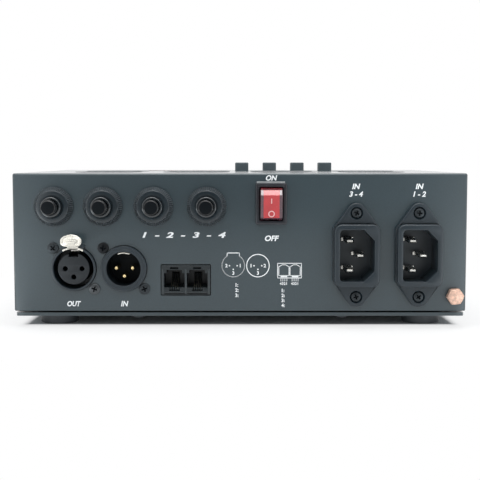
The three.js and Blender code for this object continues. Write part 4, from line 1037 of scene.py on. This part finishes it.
def hexagon_loop(cut):
    """A hexagon whose corners are cut back to a circle."""
    loop = []
    for i in range(FINE):
        angle = 2 * math.pi * i / FINE
        flat = HEX_RADIUS * math.cos(math.pi / 6) / math.cos((angle % (math.pi / 3)) - math.pi / 6)
        loop.append(Vector((math.cos(angle), math.sin(angle))) * min(flat, HEX_RADIUS - cut))
    return loop


bolt_place = on_panel(bolt.x + BOLT_SHIFT[0], bolt.z + BOLT_SHIFT[1]) @ Matrix.Rotation(BOLT_TURN, 4, "Z")
bolt_head = form([(hexagon_loop(cut), height) for cut, height in [
    (0.25, SEAT_GAP), (0, 0.55), (0, bolt_front - 0.85), (0.42, bolt_front - 0.35), (0.78, bolt_front - 0.08),
    (0.95, bolt_front),
]])
shank = block(circle(SHANK_RADIUS, 32), bolt_back, 0.6)
piece("earth_bolt_head", merged(bolt_head, shank), COPPER, bolt_place, ["earth_bolt"])


# Rubber feet, and the screws under the base

FOOT_SCREW, BASE_SCREW = (2.9, 1.3, 1.6), (2.8, 1.3, 1.6)
FOOT_SINK, FOOT_SINK_RADIUS = 3.0, 4.0
BASE_SCREW_X, BASE_SCREW_INSET = 49.2, 5.0

for i in CHANNELS:
    spot, radius = centre_mm(f"foot_{i}"), radius_mm(f"foot_{i}")
    foot = lathe([
        (0, FOOT_SINK), (FOOT_SINK_RADIUS, FOOT_SINK, 0.2), (FOOT_SINK_RADIUS, 0.0, 0.4),
        (radius - 0.8, 0.0, 0.3), (radius - 0.35, 0.25, 0.3), (radius, PLATE_LOW - 0.5, 0.3),
        (radius - 0.2, PLATE_LOW, 0.1), (0, PLATE_LOW),
    ])
    piece(f"foot_{i}_rubber", foot, RUBBER, at(spot.x, spot.y, 0), [f"foot_{i}"])
    screw(f"foot_{i}_screw", FOOT_SCREW, 0.4 * i, SCREW_GREY, at(spot.x, spot.y, FOOT_SINK) @ UPSIDE_DOWN)

base_screw_rows = (BASE_LOW.y + BASE_SCREW_INSET, BASE_HIGH.y - BASE_SCREW_INSET)
base_screw_places = [(side * BASE_SCREW_X, y) for y in base_screw_rows for side in SIDES]
for i, (x, y) in enumerate(base_screw_places, 1):
    screw(f"base_screw_{i}", BASE_SCREW, 0.6 * i, SCREW, at(x, y, PLATE_LOW) @ UPSIDE_DOWN)


# Mains outlets in the top

OUTLET_WIDTH, OUTLET_LENGTH, OUTLET_WALL, OUTLET_FLOOR, OUTLET_WAIST = 35, 66, 1, -22.5, -12.8
FACE_RADIUS, FACE_FLAT, FACE_PITCH, FACE_RISE = 17.2, 14.0, 38.9, 0.2
SLOT_PITCH, SLOT_OFFSET, SLOT_DEPTH = 12.7, 4.0, -15.5
EARTH_OFFSET, EARTH_RADIUS, EARTH_FLAT = 7.9, 2.9, 3.3


def outlet_face():
    """A face with two flat sides, a narrow slot, a wide slot and a hole that is straight towards them."""
    angle = math.asin(FACE_FLAT / FACE_RADIUS)
    outline = arc_points(FACE_RADIUS, -angle, angle, 20)
    outline += arc_points(FACE_RADIUS, math.pi - angle, math.pi + angle, 20)
    earth = [Vector((-EARTH_RADIUS, -EARTH_FLAT)), Vector((EARTH_RADIUS, -EARTH_FLAT))]
    earth += arc_points(EARTH_RADIUS, 0, math.pi, 20)
    slots = [
        rectangle(1.9, 7.0, SLOT_PITCH / 2, -SLOT_OFFSET),
        rectangle(1.9, 8.6, -SLOT_PITCH / 2, -SLOT_OFFSET),
        [p + Vector((0, EARTH_OFFSET)) for p in earth],
    ]
    pockets = [cavity(loop, FACE_RISE, SLOT_DEPTH, 0.2) for loop in slots]
    return block(outline, SLOT_DEPTH - 0.7, FACE_RISE, 0, 0.15, pockets=pockets)


def on_top(node):
    """A node's middle on the cover's top face, and the node's heights over that face."""
    low, high = box_mm(node)
    middle = (low + high) / 2
    return at(middle.x, middle.y, TOP_Z), low.z - TOP_Z, high.z - TOP_Z


for i in CHANNELS:
    place, foot, rise = on_top(f"outlet_{i}")
    shell = rounded_box(OUTLET_WIDTH, OUTLET_LENGTH, 3)
    room = rounded_box(OUTLET_WIDTH - 2 * OUTLET_WALL, OUTLET_LENGTH - 2 * OUTLET_WALL, 2.5)
    floor = rounded_box(OUTLET_WIDTH - 4 * OUTLET_WALL, OUTLET_LENGTH - 4 * OUTLET_WALL, 3)
    faces = [shifted(outlet_face(), y=side * FACE_PITCH / 2) for side in SIDES]
    body = form([(floor, foot), (shell, OUTLET_WAIST), (shell, BEHIND)],
                pockets=[cavity(room, BEHIND, OUTLET_FLOOR)])
    piece(f"outlet_{i}_sockets", merged(*faces, body), BLACK, place, [f"outlet_{i}"])


# Keys, window and digits

KEY_WIDTH, KEY_CORNER, KEY_COLLAR, STEM_RADIUS = 7.7, 0.9, 10.1, 1.7
KEY_BACK, COLLAR_LOW, STEM_TOP = -2.3, -2.8, -2.5
PANE, PANE_COLLAR, PANE_CORNER = (40, 14), (43, 17), 1.5
DIGITS, DIGIT_PITCH, DIGIT_WIDTH, DIGIT_HEIGHT, SEGMENT_WIDTH, SEGMENT_GAP = 4, 8.0, 4.6, 8.4, 1.0, 0.5
SEGMENT_LOW, SEGMENT_HIGH, BLOCK_HIGH = -0.4, -0.12, -0.2

for i in CHANNELS:
    place, foot, rise = on_top(f"key_{i}")
    key_loop = rounded_box(KEY_WIDTH, KEY_WIDTH, KEY_CORNER)
    crown = edged(key_loop, KEY_BACK, rise - 0.02, 0, 0.6, 4) + [([p * 0.7 for p in key_loop], rise - 0.12)]
    collar = block(rounded_box(KEY_COLLAR, KEY_COLLAR, KEY_CORNER), COLLAR_LOW, BEHIND)
    stem = block(circle(STEM_RADIUS, 32), foot, STEM_TOP)
    piece(f"key_{i}_cap", merged(form(crown), collar, stem), KEY, place, [f"key_{i}"],
          f"menu_key_{i}")

place, foot, rise = on_top("display_window")
pane_collar = rounded_box(*PANE_COLLAR, PANE_CORNER)
pane = edged(rounded_box(*PANE, PANE_CORNER), BEHIND, rise, 0, 0.25)
piece("display_pane", form([(pane_collar, COLLAR_LOW), (pane_collar, BEHIND), *pane]), WINDOW, place,
      ["display_window"])


def digit_segments(x):
    """The seven bars of a digit, and the point beside it."""
    reach = (DIGIT_WIDTH - SEGMENT_WIDTH) / 2
    places = [(x, row * (DIGIT_HEIGHT - SEGMENT_WIDTH) / 2, True) for row in (-1, 0, 1)]
    places += [(x + side * reach, row * DIGIT_HEIGHT / 4, False) for side in SIDES for row in SIDES]
    loops = []
    for sx, sy, level in places:
        half = ((2 * reach if level else (DIGIT_HEIGHT - SEGMENT_WIDTH) / 2) - SEGMENT_GAP) / 2
        tip = SEGMENT_WIDTH / 2
        lozenge = [(half, 0), (half - tip, tip), (tip - half, tip), (-half, 0), (tip - half, -tip),
                   (half - tip, -tip)]
        loops.append([Vector((sx + a, sy + b)) if level else Vector((sx - b, sy + a)) for a, b in lozenge])
    loops.append(circle(0.55, 24, x + DIGIT_WIDTH / 2 + 0.9, -DIGIT_HEIGHT / 2 + 0.4))
    return [block(loop, SEGMENT_LOW, SEGMENT_HIGH) for loop in loops]


digits_low, digits_high = box_mm("display_digits")
digits_middle = (digits_low + digits_high) / 2
digits_size = digits_high - digits_low
digits_place = at(digits_middle.x, digits_middle.y, digits_high.z)
digits_block = block(rounded_box(digits_size.x, digits_size.y, 0.3), -digits_size.z, BLOCK_HIGH, 0, 0.1)
segments = [lit for x in evenly(DIGITS, DIGIT_PITCH) for lit in digit_segments(x)]
piece("display_digit_block", digits_block, BUTTON, digits_place, ["display_digits"])
piece("display_digit_segments", merged(*segments), SEGMENT, digits_place)


# Printed marks on the panel, placed by the pixels where the photograph shows them

INK, LINE, THIN_LINE = 0.03, 0.42, 0.34
PIXEL = 0.4787  # millimetres of the panel
IMAGE_MIDDLE_X, IMAGE_MIDDLE_Y, AIM_Z = 240.1, 240.0, 42.0
WORD_HEIGHT, NUMBER_HEIGHT, SLANT, BOLD = 2.6, 1.75, 0.22, 0.034


def seen_at(px, py):
    """The place on the panel that shows at that pixel of the photograph."""
    return (px - IMAGE_MIDDLE_X) * PIXEL, AIM_Z - (py - IMAGE_MIDDLE_Y) * PIXEL


def word(text, x, z, height=WORD_HEIGHT, width=None, slant=SLANT):
    """A printed word, centred on that place of the panel."""
    curve = bpy.data.curves.new(text, "FONT")
    curve.body = text
    curve.align_x, curve.align_y = "CENTER", "CENTER"
    curve.shear, curve.offset = slant, BOLD
    probe = linked(text, curve)
    bpy.context.view_layer.update()
    mesh = bpy.data.meshes.new_from_object(probe.evaluated_get(bpy.context.evaluated_depsgraph_get()))
    bpy.data.objects.remove(probe)
    bpy.data.curves.remove(curve)
    bm = bmesh.new()
    bm.from_mesh(mesh)
    bpy.data.meshes.remove(mesh)
    xs, ys = [v.co.x for v in bm.verts], [v.co.y for v in bm.verts]
    scale = height / (max(ys) - min(ys))
    across = width / (max(xs) - min(xs)) if width else scale
    middle = Vector(((max(xs) + min(xs)) / 2, (max(ys) + min(ys)) / 2, 0))
    bm.transform(Matrix.Diagonal((across, scale, 1, 1)) @ Matrix.Translation(-middle))
    bmesh.ops.remove_doubles(bm, verts=bm.verts, dist=WELD)
    faces = bmesh.ops.extrude_face_region(bm, geom=list(bm.faces))["geom"]
    bmesh.ops.translate(bm, verts=[g for g in faces if isinstance(g, bmesh.types.BMVert)], vec=(0, 0, INK))
    return shifted(bm, x, z)


def number(text, x, z, height=NUMBER_HEIGHT):
    """A small upright word."""
    return word(text, x, z, height, slant=0)


def bar(x, z, length, thickness, angle=0.0):
    """A printed line about that place."""
    turn = Matrix.Translation((x, z, 0)) @ Matrix.Rotation(angle, 4, "Z")
    return moved(block(rectangle(length, thickness), 0, INK), turn)


def line_art(points, thickness):
    """A printed closed outline through those points."""
    bars = []
    for (x0, z0), (x1, z1) in zip(points, points[1:] + points[:1]):
        length = math.hypot(x1 - x0, z1 - z0) + thickness
        bars.append(bar((x0 + x1) / 2, (z0 + z1) / 2, length, thickness, math.atan2(z1 - z0, x1 - x0)))
    return bars


# Words with their pixel, height and, where it is set, width
LEGENDS = [("ON", 271.4, 178.2, WORD_HEIGHT, 5.4), ("OFF", 272.0, 238.3, 2.7, 6.8),
           ("OUT", 73.9, 304, WORD_HEIGHT, 6.6), ("IN", 124.5, 304, WORD_HEIGHT, 3.6),
           ("1  -  2  -  3  -  4", 184.4, 235.0, 2.75, 39.8)]
for label, px in (("3 - 4", 355.5), ("1 - 2", 418.5)):
    LEGENDS += [("IN", px, 186.6, WORD_HEIGHT, None), (label, px, 194.2, WORD_HEIGHT, None)]
marks = [word(text, *seen_at(px, py), height, width) for text, px, py, height, width in LEGENDS]
marks.append(bar(*seen_at(270.7, 182.3), 13.4, THIN_LINE))
for count, px, py, step in ((3, 237.0, 285.1, 5.25), (4, 283.2, 290.7, 5.0)):
    marks += [number(f"{row + 1}:", *seen_at(px, py + row * step)) for row in range(count)]

# Pin layouts of the two data sockets
PLUG_RADIUS, KEY_HALF, KEY_RISE, DOT_RADIUS = 5.4, 2.95, 6.1, 0.36
for px, keyed, left, right in ((233.4, True, "2", "1"), (258.0, False, "1", "2")):
    x, z = seen_at(px, 265.7)
    if keyed:
        angle = math.acos(KEY_HALF / PLUG_RADIUS)
        outline = [tuple(p) for p in arc_points(PLUG_RADIUS, math.pi - angle, 2 * math.pi + angle, 40, x, z)]
        marks += line_art(outline + [(x + KEY_HALF, z + KEY_RISE), (x - KEY_HALF, z + KEY_RISE)], LINE)
    else:
        marks.append(washer(PLUG_RADIUS + LINE / 2, PLUG_RADIUS - LINE / 2, 0, INK, x=x, y=z))
    marks += [number(text, x + dx, z + dz)
              for text, dx, dz in ((left, -3.3, 0.0), (right, 3.3, 0.0), ("3", 0, -3.55))]
    marks += [block(circle(DOT_RADIUS, 16, x + dx, z + dz), 0, INK)
              for dx, dz in ((-1.85, -0.05), (1.85, -0.05), (0, -1.8))]

# Pin layout of the link jack
LEADS, LEAD_PITCH = 4, 0.95
FRAME_CORNERS = [(-5.7, -3.5), (5.7, -3.5), (5.7, 3.55), (-5.7, 3.55)]
PORT_CORNERS = [(-2.45, -2.35), (2.45, -2.35), (2.45, 1.9), (0.8, 2.85), (-0.8, 2.85), (-2.45, 1.9)]
PORT_SHIFT, LEAD_LENGTH, LEAD_WIDTH = 2.68, 1.5, 0.24
x, z = seen_at(289.6, 270.8)
marks += line_art([(x + dx, z + dz) for dx, dz in FRAME_CORNERS], THIN_LINE)
for side in SIDES:
    middle = x + side * PORT_SHIFT
    marks += line_art([(middle + dx, z + dz) for dx, dz in PORT_CORNERS], THIN_LINE)
    marks.append(bar(middle, z - 2.8, 3.2, 0.8))
    for i, step in enumerate(evenly(LEADS, LEAD_PITCH)):
        marks.append(bar(middle + step, z - 4.4, LEAD_WIDTH, LEAD_LENGTH))
        marks.append(number(str(LEADS - i), middle + step - 0.1, z - 6.2, 1.3))
piece("panel_marks", merged(*marks), WHITE, on_panel(0, 0))


# Camera: a long lens a little above the panel's middle

LENS, SENSOR = 75.0, 36.0
PITCH = math.radians(4.6)
DISTANCE = 477.3
camera_data = bpy.data.cameras.new("camera")
camera_data.lens, camera_data.sensor_width = LENS, SENSOR
camera_data.clip_start, camera_data.clip_end = 0.01, 50
camera = linked("camera", camera_data)
away = Vector((0, -math.cos(PITCH), math.sin(PITCH)))
camera.location = Vector((0.0, PANEL_Y, AIM_Z)) * MM + away * DISTANCE * MM
camera.rotation_mode = "QUATERNION"
camera.rotation_quaternion = (-away).to_track_quat("-Z", "Y")
bpy.context.scene.camera = camera


# World: plain white where it is seen, and a dimmer blue-white as light

world = bpy.data.worlds.new("studio")
bpy.context.scene.world = world
world.use_nodes = True
sky = Tree(world.node_tree)
ambient = sky.nodes["Background"]
ambient.inputs["Color"].default_value = (0.93, 0.97, 1.0, 1.0)
ambient.inputs["Strength"].default_value = 0.50
plain = sky.add("Background", {"Color": (1.0, 1.0, 1.0, 1.0), "Strength": 1.0})
shown = sky.add("MixShader", {0: sky.seen_white(), 1: ambient.outputs[0], 2: plain.outputs[0]})
sky.put(sky.nodes["World Output"].inputs["Surface"], shown.outputs[0])


# Floor: pale, with the shadow under the object, and plain white around it

SHADOW_HALF = Vector((103.0, 66.3)) * MM
SHADOW_MIDDLE_Y = 7.75 * MM
# Distances from the shadow in millimetres, with the share of white
WHITENING = [(0.0, 0.0), (1.5, 0.41), (4.0, 0.74), (15.0, 0.70), (40.0, 0.84), (90.0, 1.0)]
FLOOR_HALF = 6.0


def floor_material():
    """Pale where light falls on it, and whiter to the camera with the distance from the object's shadow."""
    material, tree, surface = shader("pale_floor")
    tone = tree.mixed(tree.ranged(tree.noise(3.0, 2.0), 0.0, 1.0), (0.90, 0.91, 0.92), (0.93, 0.94, 0.95))
    tree.put(surface.inputs["Roughness"], 0.75)
    tree.put(surface.inputs["Base Color"], tone)
    place = tree.add("SeparateXYZ", {0: tree.add("TexCoord").outputs["Object"]}).outputs
    squares = []
    for value, half in ((place["X"], SHADOW_HALF.x),
                        (tree.reckon("SUBTRACT", place["Y"], SHADOW_MIDDLE_Y), SHADOW_HALF.y)):
        past = tree.reckon("MAXIMUM", tree.reckon("SUBTRACT", tree.reckon("ABSOLUTE", value), half), 0.0)
        squares.append(tree.reckon("MULTIPLY", past, past))
    away = tree.reckon("SQRT", tree.reckon("ADD", *squares))
    furthest = WHITENING[-1][0] * MM
    ramp = tree.add("ValToRGB", {"Fac": tree.reckon("DIVIDE", away, furthest)})
    stops = ramp.color_ramp.elements
    for distance, white in WHITENING[1:-1]:
        stops.new(distance * MM / furthest)
    for stop, (distance, white) in zip(stops, WHITENING):
        stop.position, stop.color = distance * MM / furthest, (white, white, white, 1.0)
    glow = tree.add("Emission", {"Strength": 1.0})
    share = tree.reckon("MULTIPLY", ramp.outputs["Color"], tree.seen_white())
    blend = tree.add("MixShader", {0: share, 1: surface.outputs["BSDF"], 2: glow.outputs["Emission"]})
    tree.put(tree.nodes["Material Output"].inputs["Surface"], blend.outputs[0])
    return material


def card(name, corners, material):
    """One flat face, which no piece rides on."""
    mesh = bpy.data.meshes.new(name)
    mesh.from_pydata(corners, [], [tuple(range(len(corners)))])
    mesh.materials.append(material)
    obj = linked(name, mesh)
    return obj


card("floor", [(p.x, p.y, 0) for p in rectangle(2 * FLOOR_HALF, 2 * FLOOR_HALF)], floor_material())


# Lamps

def softbox(name, location, aim, width, height, radiance):
    """A rectangular lamp with that brightness over its face."""
    data = bpy.data.lights.new(name, "AREA")
    data.shape = "RECTANGLE"
    data.size, data.size_y = width, height
    data.energy = radiance * math.pi * width * height
    lamp = linked(name, data)
    lamp.location = location
    lamp.rotation_mode = "QUATERNION"
    lamp.rotation_quaternion = (Vector(aim) - lamp.location).to_track_quat("-Z", "Y")


softbox("key_lamp", (0.0, -0.12, 1.0), (0.0, -0.12, 0.0), 0.5, 0.36, 5.5)
softbox("overhead_lamp", (0.0, -0.35, 1.02), (0.0, -0.35, 0.0), 1.74, 2.5, 1.05)
for name, side in (("left", -1), ("right", 1)):
    softbox(f"{name}_lamp", (side * 1.1, -0.5, 0.35), (0, 0, 0.04), 0.5, 0.6, 0.8)


# Only reflections see these: a dark card behind the camera keeps the middle of the panel deep, and two bright
# strips on the floor lift its lower corners

CARD_DISTANCE, CARD_HALF, CARD_HEIGHT = 0.78, 0.24, 0.46
NEAR_DISTANCE, NEAR_HALF, FAR_HALF, STRIP_WIDTH, LIFT = 0.09, 0.109, 0.272, 0.14, 0.0005
CLOTH = finish("card_cloth", (0.02, 0.021, 0.023), 0.9, (0.2, 40))
BRIGHT, _, bright_surface = shader("bright_strip")
bright_surface.inputs["Emission Color"].default_value = (0.86, 0.95, 1.0, 1.0)
bright_surface.inputs["Emission Strength"].default_value = 2.2
cards = [card("standing_card", [
    (-CARD_HALF, -CARD_DISTANCE, 0.0), (CARD_HALF, -CARD_DISTANCE, 0.0),
    (CARD_HALF, -CARD_DISTANCE, CARD_HEIGHT), (-CARD_HALF, -CARD_DISTANCE, CARD_HEIGHT)], CLOTH)]
for name, side in (("left", -1), ("right", 1)):
    cards.append(card(f"bright_strip_{name}", [(side * x, -y, LIFT) for x, y in [
        (NEAR_HALF, NEAR_DISTANCE), (FAR_HALF, CARD_DISTANCE), (FAR_HALF + STRIP_WIDTH, CARD_DISTANCE),
        (NEAR_HALF + STRIP_WIDTH, NEAR_DISTANCE),
    ]], BRIGHT))
for obj in cards:
    obj.visible_camera = obj.visible_diffuse = obj.visible_shadow = obj.visible_transmission = False

bpy.context.scene.view_settings.view_transform = "Standard"
